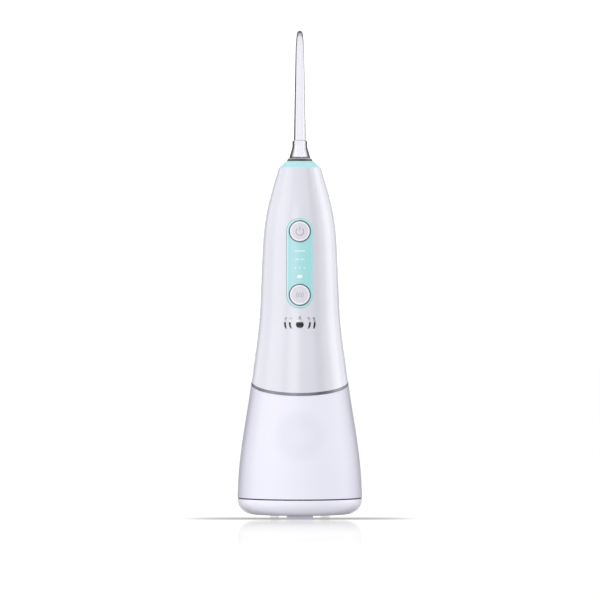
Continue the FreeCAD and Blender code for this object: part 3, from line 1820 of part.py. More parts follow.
def build():
    """Makes every sub-part, from the floor up and from the outside in."""
    fill_sheet()
    water_tank()
    tank_base_cover()
    base_seam_gasket()
    rubber_feet()
    base_screws()
    fill_door_pin()
    fill_door()
    fill_door_gasket()
    handle_housing()
    waist_ring()
    bulkhead_cup()
    neck_o_ring()
    bulkhead_seal()
    pump_cylinder()
    pump_head()
    check_valves()
    pump_screws()
    piston()
    piston_seal()
    wrist_pin()
    connecting_rod()
    drive_gear()
    crank_pin()
    gear_axle()
    gearbox_plate()
    plate_screws()
    motor_can()
    motor_end_cap()
    motor_bushings()
    motor_magnets()
    motor_rotor()
    motor_pinion()
    pump_outlet_hose()
    suction_tube()
    suction_filter()
    nozzle_socket()
    chassis()
    battery_cell()
    battery_tabs()
    control_board()
    board_components()
    tact_switches()
    button_panel()
    indicator_windows()
    light_guide()
    button_bezels()
    button("power_button", D.power_z, D.power_face)
    button("mode_button", D.mode_z, D.mode_face)
    emblem()
    collar_ring()
    release_button()
    latch_plate()
    release_spring()
    swivel_ring()
    nozzle_tip()
    nozzle_o_ring()
    usb_receptacle()
    charge_board()
    charge_flap()


def check():
    """Stops before anything is written if an object failed or a sub-part is not a sound solid."""
    for obj in doc.Objects:
        if "Invalid" in obj.State or "Error" in obj.State:
            raise RuntimeError("%s did not compute: %s" % (obj.Name, obj.State))
    for label, obj in NODES.items():
        if obj.Shape.isNull() or not obj.Shape.isValid() or not obj.Shape.Solids:
            raise RuntimeError("%s has no sound solid" % label)


def write():
    os.makedirs("parts", exist_ok=True)
    for label, obj in NODES.items():
        obj.Shape.exportStep("parts/%s.step" % label)
        print("%-20s %8.1f mm3, %d solids" % (label, obj.Shape.Volume, len(obj.Shape.Solids)))
    print(len(NODES), "sub-parts")


build()
doc.recompute()
check()
write()
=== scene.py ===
import json
import math

import bmesh
import bpy
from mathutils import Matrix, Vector
from mathutils.bvhtree import BVHTree


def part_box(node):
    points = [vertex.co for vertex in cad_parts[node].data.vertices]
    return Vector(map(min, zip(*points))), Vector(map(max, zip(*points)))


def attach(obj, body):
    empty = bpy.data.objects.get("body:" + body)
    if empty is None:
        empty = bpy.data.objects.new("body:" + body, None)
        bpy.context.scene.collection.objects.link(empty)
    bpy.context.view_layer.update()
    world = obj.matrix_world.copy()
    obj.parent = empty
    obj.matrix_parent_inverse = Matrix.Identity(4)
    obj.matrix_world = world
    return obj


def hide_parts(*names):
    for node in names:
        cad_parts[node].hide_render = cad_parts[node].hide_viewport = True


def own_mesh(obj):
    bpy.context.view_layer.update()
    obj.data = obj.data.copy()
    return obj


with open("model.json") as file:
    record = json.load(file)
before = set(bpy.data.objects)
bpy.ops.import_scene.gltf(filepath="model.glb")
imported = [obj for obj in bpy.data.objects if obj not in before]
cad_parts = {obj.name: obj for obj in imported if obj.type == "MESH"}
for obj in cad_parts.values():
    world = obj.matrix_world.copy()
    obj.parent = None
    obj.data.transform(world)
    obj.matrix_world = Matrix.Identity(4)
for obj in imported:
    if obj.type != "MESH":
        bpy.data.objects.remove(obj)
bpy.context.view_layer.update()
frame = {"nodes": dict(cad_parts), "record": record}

MM = 0.001
WHITE = (1.0, 1.0, 1.0)
DOOR_HEIGHT = 50.0 * MM
# How far the painted shade round the filler door reaches on the tank.
DOOR_SHADE_BLUR = 18.5 * MM
DOOR_LIP_R = 12.6 * MM
FLARE_TOP = 221.0 * MM
JET_ROUND = 3.2 * MM
BORE_REACH = 3.0 * MM
OUTSIDE = 100.0 * MM
STRIP_SINK = 0.08 * MM
INK_HEIGHT = 0.05 * MM
RIB_PITCH = 1.1 * MM
# Painted shade: how far a plastic wall's colour is darkened, from facing the viewer (0) to edge on (1),
# for a dark outline.
THICK_WALL_EDGE_SHADE = (
    (0.1, WHITE),
    (0.28, (0.96, 0.96, 0.96)),
    (0.5, (0.8, 0.8, 0.81)),
    (0.71, (0.56, 0.56, 0.57)),
    (0.95, (0.35, 0.35, 0.36)),
)
THIN_WALL_EDGE_SHADE = ((0.4, WHITE), (0.65, (0.76, 0.76, 0.77)), (0.9, (0.55, 0.55, 0.56)))


# ---------------------------------------------------------------- colour, place and node helpers


def srgb(red, green, blue):
    """A colour given as 0-255 display values, as the linear values that a shader takes."""

    def linear(value):
        share = value / 255
        return share / 12.92 if share <= 0.04045 else ((share + 0.055) / 1.055) ** 2.4

    return linear(red), linear(green), linear(blue)


def scaled(colour, by):
    return tuple(min(part * by, 1.0) for part in colour)


def centre_of(node):
    low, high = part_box(node)
    return (low + high) / 2


class Material:
    """A procedural material: one Principled shader, fed by nodes in object coordinates."""

    def __init__(self, name, colour, rough, metallic=0.0, ior=1.46, **sockets):
        self.material = bpy.data.materials.new(name)
        self.material.use_nodes = True
        self.tree = self.material.node_tree
        self.shader = next(n for n in self.tree.nodes if n.type == "BSDF_PRINCIPLED")
        self.colour, self.rough = colour, rough
        self.set("Base Color", (*colour, 1.0))
        self.set("Roughness", rough)
        self.set("Metallic", metallic)
        self.set("IOR", ior)
        for label, value in sockets.items():
            self.set(label.replace("_", " "), value)
        self.place = self.node("ShaderNodeTexCoord").outputs["Object"]
        self.last_bump = None

    def set(self, label, value):
        self.shader.inputs[label].default_value = value

    def node(self, kind, **settings):
        made = self.tree.nodes.new(kind)
        for key, value in settings.items():
            setattr(made, key, value)
        return made

    def link(self, output, target):
        self.tree.links.new(output, target)

    def noise(self, size, detail=2.0, stretch=None):
        """Smooth noise with features of about size metres."""
        made = self.node("ShaderNodeTexNoise")
        made.inputs["Scale"].default_value = 1.0 / size
        made.inputs["Detail"].default_value = detail
        if stretch:
            mapping = self.node("ShaderNodeMapping")
            mapping.inputs["Scale"].default_value = stretch
            self.link(self.place, mapping.inputs["Vector"])
            self.link(mapping.outputs["Vector"], made.inputs["Vector"])
        else:
            self.link(self.place, made.inputs["Vector"])
        return made.outputs["Fac"]

    def span(self, value, low, high, start=0.3, stop=0.7):
        """value mapped from start..stop to low..high, held inside."""
        made = self.node("ShaderNodeMapRange")
        self.link(value, made.inputs["Value"])
        made.inputs["From Min"].default_value = start
        made.inputs["From Max"].default_value = stop
        made.inputs["To Min"].default_value = low
        made.inputs["To Max"].default_value = high
        return made.outputs["Result"]

    def combine(self, operation, first, second):
        made = self.node("ShaderNodeMath", operation=operation)
        self.link(first, made.inputs[0])
        self.link(second, made.inputs[1])
        return made.outputs[0]

    def across(self, node, left, right, size, by):
        """A colour that goes from left to right over a node's width, moved either way by noise of by."""
        low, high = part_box(node)
        share = self.span(self.axis("X"), 0.0, 1.0, low.x, high.x)
        wander = self.span(self.noise(size, 4.0), -by, by)
        mixed = self.ramp(self.combine("ADD", share, wander), ((0.0, left), (1.0, right)))
        self.link(mixed, self.shader.inputs["Base Color"])

    def axis(self, name):
        made = self.node("ShaderNodeSeparateXYZ")
        self.link(self.place, made.inputs["Vector"])
        return made.outputs[name]

    def ramp(self, value, stops, smooth=True):
        """A colour for value, from (place, colour) stops."""
        made = self.node("ShaderNodeValToRGB")
        made.color_ramp.interpolation = "EASE" if smooth else "LINEAR"
        elements = made.color_ramp.elements
        while len(elements) < len(stops):
            elements.new(0.5)
        for element, (place, colour) in zip(elements, stops):
            element.position = place
            element.color = (*colour, 1.0)
        self.link(value, made.inputs["Fac"])
        return made.outputs["Color"]

    def vary(self, size, low, high, detail=3.0, stretch=None):
        """Slow colour variation between low and high times the colour."""
        stops = ((0.3, scaled(self.colour, low)), (0.7, scaled(self.colour, high)))
        self.link(self.ramp(self.noise(size, detail, stretch), stops), self.shader.inputs["Base Color"])

    def uneven(self, size, by, stretch=None):
        """Roughness that wanders up to by either way."""
        value = self.span(self.noise(size, stretch=stretch), self.rough - by, self.rough + by)
        self.link(value, self.shader.inputs["Roughness"])

    def bump(self, height, depth, strength=1.0):
        made = self.node("ShaderNodeBump")
        made.inputs["Distance"].default_value = depth
        made.inputs["Strength"].default_value = strength
        self.link(height, made.inputs["Height"])
        if self.last_bump:
            self.link(self.last_bump, made.inputs["Normal"])
        self.last_bump = made.outputs["Normal"]
        self.link(self.last_bump, self.shader.inputs["Normal"])

    def edge(self, colour, stops):
        """Painted shade: colour, multiplied by a ramp from facing the viewer (0) to edge on (1), which
        darkens the outline.
        """
        weight = self.node("ShaderNodeLayerWeight")
        weight.inputs["Blend"].default_value = 0.5
        made = self.node("ShaderNodeMix", data_type="RGBA", blend_type="MULTIPLY")
        made.inputs["Factor"].default_value = 1.0
        self.link(colour, made.inputs["A"])
        self.link(self.ramp(weight.outputs["Facing"], stops, smooth=False), made.inputs["B"])
        return made.outputs["Result"]

    def grain(self, size, depth, strength=1.0, stretch=None):
        """Noise that stands depth metres high."""
        self.bump(self.noise(size, 3.0, stretch), depth, strength)


# ---------------------------------------------------------------- materials


def housing_plastic():
    """Satin white plastic, with a fine mould grain under a clear coat."""
    coat = {"Coat_Weight": 1.0, "Coat_Roughness": 0.22, "Coat_IOR": 1.55}
    made = Material("housing_plastic", srgb(213, 213, 224), 0.3, ior=1.5, **coat)
    made.vary(30.0 * MM, 0.985, 1.01)
    made.uneven(4.0 * MM, 0.02)
    made.grain(4.0 * MM, 0.003 * MM)
    return made


def base_plastic():
    """The plastic of the base cover and the filler door, with painted shade: darker towards the floor
    and at its outline.
    """
    coat = {"Coat_Weight": 0.5, "Coat_Roughness": 0.22}
    made = Material("base_plastic", srgb(240, 239, 253), 0.31, ior=1.5, **coat)
    low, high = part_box("tank_base_cover")
    share = made.span(made.axis("Z"), 0.0, 1.0, low.z, high.z)
    # Painted shade: the colour darkens towards the floor.
    stops = ((0.0, scaled(made.colour, 0.84)), (0.25, scaled(made.colour, 0.9)), (0.7, made.colour))
    painted_floor_shade = made.ramp(share, stops, smooth=False)
    # Painted shade: the outline darkens where the wall is seen edge on.
    made.link(made.edge(painted_floor_shade, THIN_WALL_EDGE_SHADE), made.shader.inputs["Base Color"])
    made.uneven(4.0 * MM, 0.02)
    made.grain(4.0 * MM, 0.003 * MM)
    return made


def tank_plastic():
    """Frosted plastic, with painted shade: darker at its outline, and a faint darker ring painted where
    the filler door stands behind the wall.
    """
    made = Material("tank_plastic", srgb(239, 238, 252), 0.42, ior=1.45, Transmission_Weight=0.05)
    low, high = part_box("fill_door")
    centre = (low + high) / 2
    spread = made.node("ShaderNodeVectorMath", operation="SUBTRACT")
    made.link(made.place, spread.inputs[0])
    spread.inputs[1].default_value = (centre.x, 0.0, centre.z)
    flat = made.node("ShaderNodeVectorMath", operation="MULTIPLY")
    made.link(spread.outputs[0], flat.inputs[0])
    flat.inputs[1].default_value = (1.0, 0.0, 1.0)
    reach = made.node("ShaderNodeVectorMath", operation="LENGTH")
    made.link(flat.outputs[0], reach.inputs[0])
    # Painted shade: a faint darker disc round the filler door's place, on the front and the back of the
    # wall alike.
    painted_door_shade = made.ramp(
        made.span(reach.outputs["Value"], 0.0, 1.0, 0.0, DOOR_SHADE_BLUR),
        ((0.0, scaled(made.colour, 0.965)), (0.5, scaled(made.colour, 0.945)), (1.0, made.colour)),
    )
    # Painted shade: the outline darkens where the wall is seen edge on.
    made.link(made.edge(painted_door_shade, THICK_WALL_EDGE_SHADE), made.shader.inputs["Base Color"])
    made.uneven(1.2 * MM, 0.05)
    made.grain(0.3 * MM, 0.015 * MM)
    return made


def clear_plastic():
    """Clear plastic with a painted dark outline: its colour goes nearly black where it is seen edge on,
    most at the flare and at the jet's end.
    """
    made = Material("clear_plastic", srgb(248, 247, 253), 0.02, ior=1.42, Transmission_Weight=1.0)
    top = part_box("nozzle_tip")[1].z
    weight = made.node("ShaderNodeLayerWeight")
    weight.inputs["Blend"].default_value = 0.5
    facing, height = weight.outputs["Facing"], made.axis("Z")
    stem = made.span(facing, 0.0, 0.55, 0.55, 0.9)

    def zone(most, start, stop, share):
        """A painted dark outline from start to stop edge on, in one zone of the height."""
        return made.combine("MULTIPLY", made.span(facing, 0.0, most, start, stop), share)

    flare = zone(1.0, 0.18, 0.4, made.span(height, 1.0, 0.0, FLARE_TOP, FLARE_TOP + 1.0 * MM))
    upper = zone(0.9, 0.2, 0.5, made.span(height, 0.0, 1.0, top - 22.0 * MM, top - 6.0 * MM))
    end = zone(1.0, 0.02, 0.2, made.span(height, 0.0, 1.0, top - JET_ROUND, top - JET_ROUND / 2))
    lower = made.combine("MAXIMUM", stem, flare)
    dark = made.combine("MAXIMUM", lower, made.combine("MAXIMUM", upper, end))
    # Painted shade: the colour goes nearly black along the outline and at the jet's end.
    painted_edge_tint = made.ramp(dark, ((0.0, made.colour), (1.0, srgb(2, 2, 4))), smooth=False)
    made.link(painted_edge_tint, made.shader.inputs["Base Color"])
    made.link(made.span(end, 0.5, 0.1, 0.0, 1.0), made.shader.inputs["Specular IOR Level"])
    made.uneven(4.0 * MM, 0.012)
    made.grain(3.0 * MM, 0.01 * MM, 0.5)
    return made


def clear_bore():
    """The wall of a clear piece's bore. Water is left in it, so it bends light very little."""
    made = Material("clear_bore", srgb(250, 249, 254), 0.03, ior=1.03, Transmission_Weight=1.0)
    made.vary(4.0 * MM, 0.98, 1.0)
    made.uneven(4.0 * MM, 0.02)
    made.grain(3.0 * MM, 0.006 * MM, 0.5)
    return made


def teal_plastic():
    made = Material("teal_plastic", srgb(168, 219, 223), 0.23, ior=1.5)
    made.across("button_panel", srgb(172, 219, 226), srgb(160, 220, 221), 0.6 * MM, 0.35)
    made.uneven(0.8 * MM, 0.03)
    made.grain(0.35 * MM, 0.012 * MM)
    return made


def teal_soft():
    made = Material("teal_soft", srgb(176, 226, 229), 0.45, ior=1.5)
    made.vary(4.0 * MM, 0.96, 1.03)
    made.uneven(1.0 * MM, 0.05)
    made.grain(0.35 * MM, 0.02 * MM)
    return made


def teal_edge():
    # Painted highlight: a paler teal than the panel, for light on its raised edge, palest on the left.
    # The release ribs reuse it.
    made = Material("teal_edge", srgb(180, 236, 238), 0.2, ior=1.5)
    made.across("button_panel", srgb(190, 242, 246), srgb(166, 228, 230), 3.0 * MM, 0.1)
    made.uneven(1.0 * MM, 0.04)
    made.grain(0.4 * MM, 0.01 * MM)
    return made


def button_grey():
    """Satin button caps."""
    made = Material("button_grey", srgb(216, 215, 226), 0.35, ior=1.5)
    made.vary(0.5 * MM, 0.95, 1.03, detail=4.0)
    made.uneven(0.6 * MM, 0.06)
    made.grain(0.3 * MM, 0.02 * MM)
    return made


def dark_trim():
    made = Material("dark_trim", srgb(88, 88, 98), 0.23, metallic=0.4)
    made.vary(2.0 * MM, 0.8, 1.15)
    made.uneven(1.0 * MM, 0.03)
    made.grain(0.5 * MM, 0.01 * MM)
    return made


def swivel_trim():
    """The swivel's dark ring. Its top, which the clear foot stands on, is painted paler, as a highlight.
    """
    made = Material("swivel_trim", srgb(80, 80, 90), 0.23, metallic=0.3)
    low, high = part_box("swivel_ring")
    # Painted highlight: the top millimetre pales to light grey.
    share = made.span(made.axis("Z"), 0.0, 1.0, high.z - 1.0 * MM, high.z)
    stops = ((0.0, srgb(70, 70, 80)), (0.55, srgb(92, 92, 102)), (0.9, srgb(190, 190, 200)))
    made.link(made.ramp(share, stops, smooth=False), made.shader.inputs["Base Color"])
    made.uneven(1.0 * MM, 0.03)
    made.grain(0.5 * MM, 0.01 * MM)
    return made


def silver_trim():
    """Grey metallised ring."""
    made = Material("silver_trim", srgb(116, 115, 123), 0.34, metallic=0.75)
    made.vary(10.0 * MM, 0.92, 1.05)
    made.uneven(2.0 * MM, 0.05)
    made.grain(0.6 * MM, 0.012 * MM, stretch=(1.0, 1.0, 6.0))
    return made


def emblem_metal():
    """Metal film with a painted reflection: grey at the bottom edge, nearly black below the middle,
    palest just above it and greyer towards the top.
    """
    made = Material("emblem_metal", srgb(170, 170, 176), 0.22, metallic=0.6)
    low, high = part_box("emblem")
    share = made.span(made.axis("Z"), 0.0, 1.0, low.z, high.z)
    # Painted reflection: light and dark bands by height, as a mirror image of the room.
    stops = (
        (0.0, srgb(150, 150, 156)),
        (0.15, srgb(40, 40, 43)),
        (0.4, srgb(22, 22, 24)),
        (0.5, srgb(90, 90, 94)),
        (0.56, srgb(205, 205, 210)),
        (0.75, srgb(165, 165, 172)),
        (1.0, srgb(95, 95, 100)),
    )
    made.link(made.ramp(share, stops, smooth=False), made.shader.inputs["Base Color"])
    made.uneven(0.8 * MM, 0.05)
    made.grain(0.4 * MM, 0.008 * MM)
    return made


def white_window():
    """Windows: the battery mark is white, and the unlit mode marks above it are a paler teal."""
    made = Material("white_window", srgb(250, 252, 253), 0.4)
    low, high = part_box("indicator_windows")
    share = made.span(made.axis("Z"), 0.0, 1.0, low.z, high.z)
    stops = (
        (0.0, srgb(255, 255, 255)),
        (0.14, srgb(253, 254, 255)),
        (0.22, srgb(212, 240, 241)),
        (1.0, srgb(206, 238, 240)),
    )
    made.link(made.ramp(share, stops), made.shader.inputs["Base Color"])
    made.uneven(0.5 * MM, 0.05)
    made.grain(0.3 * MM, 0.01 * MM)
    return made


def rubber(name, colour, rough=0.62, size=0.6 * MM):
    """Matt rubber, with grain of about size metres."""
    made = Material(name, colour, rough, ior=1.5)
    made.vary(4.0 * MM, 0.94, 1.05)
    made.uneven(1.0 * MM, 0.05)
    made.grain(size, 0.01 * MM)
    return made


def foot_rubber():
    """The front foot is grey, and the two pads behind it are nearly white."""
    made = Material("foot_rubber", srgb(192, 192, 206), 0.62, ior=1.5)
    share = made.span(made.axis("Y"), 0.0, 1.0, -4.0 * MM, 4.0 * MM)
    paler = made.ramp(share, ((0.0, made.colour), (1.0, srgb(255, 255, 255))))
    made.link(paler, made.shader.inputs["Base Color"])
    made.uneven(1.0 * MM, 0.05)
    made.grain(0.6 * MM, 0.01 * MM)
    return made


def white_soft():
    made = Material("white_soft", srgb(226, 226, 237), 0.5, ior=1.5)
    made.vary(12.0 * MM, 0.985, 1.01)
    made.uneven(3.0 * MM, 0.04)
    made.grain(2.0 * MM, 0.01 * MM)
    return made


def metal(name, colour, rough, stretch=None):
    """Bare metal. With stretch its grain runs one way."""
    made = Material(name, colour, rough, metallic=1.0)
    made.vary(3.0 * MM, 0.9, 1.05)
    made.uneven(1.2 * MM, 0.06, stretch=stretch)
    made.grain(0.5 * MM, 0.01 * MM, stretch=stretch)
    return made


def moulded(name, colour, rough=0.45):
    """Plain moulded plastic."""
    made = Material(name, colour, rough, ior=1.5)
    made.vary(10.0 * MM, 0.97, 1.02)
    made.uneven(2.0 * MM, 0.04)
    made.grain(0.8 * MM, 0.006 * MM)
    return made


def wound_copper():
    """Copper wire, in turns stacked along Z."""
    made = Material("copper", (0.72, 0.34, 0.18), 0.3, metallic=1.0)
    waves = made.node("ShaderNodeTexWave", bands_direction="Z")
    waves.inputs["Scale"].default_value = 1200.0
    made.link(made.place, waves.inputs["Vector"])
    made.vary(2.0 * MM, 0.8, 1.1)
    made.bump(waves.outputs["Fac"], 0.06 * MM)
    return made


def board_green():
    made = Material("board_green", (0.02, 0.13, 0.06), 0.35, Coat_Weight=0.4)
    made.vary(1.5 * MM, 0.6, 1.5, stretch=(1.0, 1.0, 3.0))
    made.uneven(1.0 * MM, 0.05)
    made.grain(0.6 * MM, 0.03 * MM)
    return made


def cell_wrap():
    made = Material("cell_wrap", (0.05, 0.16, 0.4), 0.3, Coat_Weight=0.5)
    made.vary(6.0 * MM, 0.85, 1.1)
    made.uneven(2.0 * MM, 0.08)
    made.grain(4.0 * MM, 0.06 * MM, stretch=(1.0, 1.0, 0.3))
    return made


def icon_ink():
    made = Material("icon_ink", srgb(160, 159, 168), 0.4)
    made.vary(0.6 * MM, 0.85, 1.1)
    made.uneven(0.6 * MM, 0.05)
    made.grain(0.3 * MM, 0.01 * MM)
    return made


def joint_shade():
    # Painted shade for the panel's joint: grey, darker on the left and paler on the right.
    made = Material("joint_shade", srgb(160, 160, 172), 0.5)
    made.across("button_panel", srgb(140, 146, 158), srgb(208, 202, 216), 4.0 * MM, 0.1)
    made.uneven(1.0 * MM, 0.05)
    made.grain(0.4 * MM, 0.01 * MM)
    return made


def cap_rim():
    # Near white: a painted highlight on the button rims, and the same colour on the lips of the charge
    # flap and the filler door.
    made = Material("cap_rim", srgb(244, 244, 248), 0.18, ior=1.5)
    made.vary(1.0 * MM, 0.96, 1.0)
    made.uneven(0.6 * MM, 0.04)
    made.grain(0.4 * MM, 0.008 * MM)
    return made


def make_materials():
    """One procedural material for each of the record's slots."""
    turned = (1.0, 1.0, 8.0)
    return {
        "housing_plastic": housing_plastic(),
        "tank_plastic": tank_plastic(),
        "base_plastic": base_plastic(),
        "grey_rubber": rubber("grey_rubber", srgb(18, 18, 22)),
        "foot_rubber": foot_rubber(),
        "steel": metal("steel", (0.62, 0.62, 0.64), 0.35, turned),
        "silver_trim": silver_trim(),
        "teal_plastic": teal_plastic(),
        "teal_soft": teal_soft(),
        "button_grey": button_grey(),
        "dark_trim": dark_trim(),
        "white_window": white_window(),
        "clear_plastic": clear_plastic(),
        "inner_plastic": moulded("inner_plastic", srgb(226, 226, 232)),
        "dark_plastic": moulded("dark_plastic", srgb(48, 48, 52), 0.4),
        "white_soft": white_soft(),
        "black_seal": rubber("black_seal", srgb(34, 34, 36), 0.45),
        "brass": metal("brass", (0.78, 0.55, 0.24), 0.35, turned),
        "copper": wound_copper(),
        "magnet": rubber("magnet", srgb(62, 62, 66), 0.5, 0.2 * MM),
        "board_green": board_green(),
        "cell_wrap": cell_wrap(),
        "nylon": moulded("nylon", srgb(238, 236, 228), 0.4),
        "hose_silicone": rubber("hose_silicone", srgb(226, 230, 230), 0.35, 1.0 * MM),
    }


def inner_faces(mesh, reach):
    """The faces that look across a bore at their own mesh, no more than reach away."""
    tree = BVHTree.FromPolygons([v.co for v in mesh.vertices], [list(p.vertices) for p in mesh.polygons])
    for face in mesh.polygons:
        if tree.ray_cast(face.center + face.normal * 0.01 * MM, face.normal, reach)[0] is not None:
            yield face


def dress(materials):
    """Every CAD node gets the material of its slot, and the nozzle's bore one of its own."""
    special = {"emblem": emblem_metal(), "swivel_ring": swivel_trim()}
    for row in frame["record"]["subparts"]:
        name = row["node"]
        chosen = special.get(name, materials[row["material_slot"]])
        mesh = frame["nodes"][name].data
        mesh.materials.clear()
        mesh.materials.append(chosen.material)
    nozzle = frame["nodes"]["nozzle_tip"].data
    nozzle.materials.append(clear_bore().material)
    for face in inner_faces(nozzle, BORE_REACH):
        face.material_index = 1


# ---------------------------------------------------------------- detail pieces


# A strip's cross-section: shares of its width, and of its height where they are above 0.
PROFILE = (
    (-0.5, -1.0),
    (-0.5, 0.35),
    (-0.38, 0.8),
    (-0.2, 1.0),
    (0.2, 1.0),
    (0.38, 0.8),
    (0.5, 0.35),
    (0.5, -1.0),
)


def surface_of(*nodes):
    """A search tree of some CAD nodes' triangles."""
    points, faces = [], []
    for name in nodes:
        mesh = frame["nodes"][name].data
        start = len(points)
        points += [v.co.copy() for v in mesh.vertices]
        faces += [[start + i for i in p.vertices] for p in mesh.polygons]
    return BVHTree.FromPolygons(points, faces)


def landed(tree, x, z, side):
    """Where a line along Y, from in front (side -1) or behind (side 1), meets the surface."""
    spot = tree.ray_cast(Vector((x, OUTSIDE * side, z)), Vector((0.0, -side, 0.0)))[0]
    if spot is None:
        raise ValueError("no surface behind %.4f, %.4f" % (x, z))
    return spot


def ribbon(name, path, width, height, tree, closed=False, side=-1.0):
    """A raised strip with rounded shoulders, laid on a surface along a path of (x, z) places."""
    made = bmesh.new()
    rings = []
    count = len(path)
    for number, (x, z) in enumerate(path):
        after = path[(number + 1) % count] if closed or number + 1 < count else path[number]
        before = path[number - 1] if closed or number else path[number]
        along = Vector((after[0] - before[0], after[1] - before[1])).normalized()
        across = Vector((-along.y, along.x))
        ring = []
        for share, rise in PROFILE:
            spot = landed(tree, x + across.x * share * width, z + across.y * share * width, side)
            lift = rise * height if rise > 0 else -STRIP_SINK
            ring.append(made.verts.new(spot + Vector((0.0, side, 0.0)) * lift))
        rings.append(ring)
    steps = range(count if closed else count - 1)
    for number in steps:
        first, second = rings[number], rings[(number + 1) % count]
        for i in range(len(PROFILE)):
            j = (i + 1) % len(PROFILE)
            made.faces.new((first[i], first[j], second[j], second[i]))
    if not closed:
        made.faces.new(rings[0])
        made.faces.new(reversed(rings[-1]))
    bmesh.ops.recalc_face_normals(made, faces=made.faces)
    for face in made.faces:
        face.smooth = True
    mesh = bpy.data.meshes.new(name)
    made.to_mesh(mesh)
    made.free()
    piece = bpy.data.objects.new(name, mesh)
    bpy.context.scene.collection.objects.link(piece)
    return piece


def arc(centre, radius, start, stop, steps=48):
    """Places on an arc about centre, from start to stop in degrees, anticlockwise from +X."""
    places = []
    for number in range(steps + 1):
        turn = math.radians(start + (stop - start) * number / steps)
        places.append((centre[0] + radius * math.cos(turn), centre[1] + radius * math.sin(turn)))
    return places


def circle(centre, radius, steps=72):
    return arc(centre, radius, 0.0, 360.0, steps)[:-1]


def straight(start, stop, steps=8):
    return [
        (start[0] + (stop[0] - start[0]) * n / steps, start[1] + (stop[1] - start[1]) * n / steps)
        for n in range(steps + 1)
    ]


def stadium(low, high, half):
    """A closed upright stadium: low and high are its ends in Z and half is half its width."""
    end_steps, side_steps = 28, 60
    top = arc((0.0, high - half), half, 0.0, 180.0, end_steps)
    bottom = arc((0.0, low + half), half, 180.0, 360.0, end_steps)
    left = straight(top[-1], bottom[0], side_steps)[1:-1]
    right = straight(bottom[-1], top[0], side_steps)[1:-1]
    return top + left + bottom + right


def finish_piece(piece, body, material):
    piece.data.materials.append(material.material)
    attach(piece, body)


def make_icons(ink):
    """A power sign on the upper button, and a small ring between two arcs on the lower one."""
    middle = centre_of("power_button")
    tree = surface_of("power_button")
    spot = (middle.x, middle.z - 0.2 * MM)
    line = 0.42 * MM
    sign = arc(spot, 2.25 * MM, 125.0, 415.0)
    strip = ribbon("power_sign_arc", sign, line, INK_HEIGHT, tree)
    finish_piece(strip, "power_button", ink)
    stroke = straight((spot[0], spot[1] + 0.7 * MM), (spot[0], spot[1] + 3.1 * MM))
    strip = ribbon("power_sign_stroke", stroke, line, INK_HEIGHT, tree)
    finish_piece(strip, "power_button", ink)
    middle = centre_of("mode_button")
    tree = surface_of("mode_button")
    spot = (middle.x, middle.z)
    ring = circle(spot, 0.85 * MM, 36)
    strip = ribbon("mode_sign_ring", ring, 0.32 * MM, INK_HEIGHT, tree, closed=True)
    finish_piece(strip, "mode_button", ink)
    for name, start in (("mode_sign_left", 125.0), ("mode_sign_right", -55.0)):
        sign = arc(spot, 2.0 * MM, start, start + 110.0, 24)
        strip = ribbon(name, sign, 0.3 * MM, INK_HEIGHT, tree)
        finish_piece(strip, "mode_button", ink)


def make_rims(bright):
    """A raised rim round each button cap, near white as a painted highlight of the cap's bevel."""
    for node in ("power_button", "mode_button"):
        middle = centre_of(node)
        path = circle((middle.x, middle.z), 5.3 * MM, 96)
        strip = ribbon(node + "_rim", path, 0.75 * MM, 0.1 * MM, surface_of(node), closed=True)
        finish_piece(strip, node, bright)


def make_panel_edge(bright):
    """A raised glossy edge round the front panel, in a paler teal that is a painted highlight."""
    low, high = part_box("button_panel")
    half = (high.x - low.x) / 2
    inset = 0.5 * MM
    path = stadium(low.z + inset, high.z - inset, half - inset)
    strip = ribbon("panel_edge", path, 0.7 * MM, 0.1 * MM, surface_of("button_panel"), closed=True)
    finish_piece(strip, "handle", bright)


def make_panel_groove(shade):
    """Painted shade: a grey strip for the shaded joint between the panel and the housing."""
    low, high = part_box("button_panel")
    half = (high.x - low.x) / 2
    out = 0.12 * MM
    path = stadium(low.z - out, high.z + out, half + out)
    tree = surface_of("handle_housing", "button_panel")
    strip = ribbon("panel_groove", path, 0.3 * MM, 0.03 * MM, tree, closed=True)
    finish_piece(strip, "handle", shade)


def make_grips(soft, pale):
    """Finger ribs on the release button, and a raised lip on the charge flap and on the filler door."""
    middle = centre_of("release_button")
    low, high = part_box("release_button")
    half = (high.x - low.x) / 2 - 1.0 * MM
    tree = surface_of("release_button")
    for number in range(3):
        height = middle.z + (number - 1) * RIB_PITCH
        path = straight((middle.x - half, height), (middle.x + half, height), 24)
        strip = ribbon("release_rib_%d" % (number + 1), path, 0.45 * MM, 0.1 * MM, tree, side=1.0)
        finish_piece(strip, "release", soft)
    middle = centre_of("charge_flap")
    low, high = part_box("charge_flap")
    half = (high.x - low.x) / 2 - 2.2 * MM
    height = high.z - 1.2 * MM
    path = straight((middle.x - half, height), (middle.x + half, height), 24)
    strip = ribbon("charge_flap_lip", path, 0.5 * MM, 0.12 * MM, surface_of("charge_flap"), side=1.0)
    finish_piece(strip, "charge_flap", pale)
    path = circle((0.0, DOOR_HEIGHT), DOOR_LIP_R, 120)
    tree = surface_of("fill_door")
    strip = ribbon("fill_door_lip", path, 0.6 * MM, 0.1 * MM, tree, closed=True, side=1.0)
    finish_piece(strip, "fill_door", pale)


def make_spring():
    """The release spring as a piece of its own on the handle, in place of the CAD node, which is hidden.
    """
    node = frame["nodes"]["release_spring"]
    piece = bpy.data.objects.new("release_coil", node.data.copy())
    piece.matrix_world = node.matrix_world.copy()
    bpy.context.scene.collection.objects.link(piece)
    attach(piece, "handle")
    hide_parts("release_spring")
    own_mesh(piece)


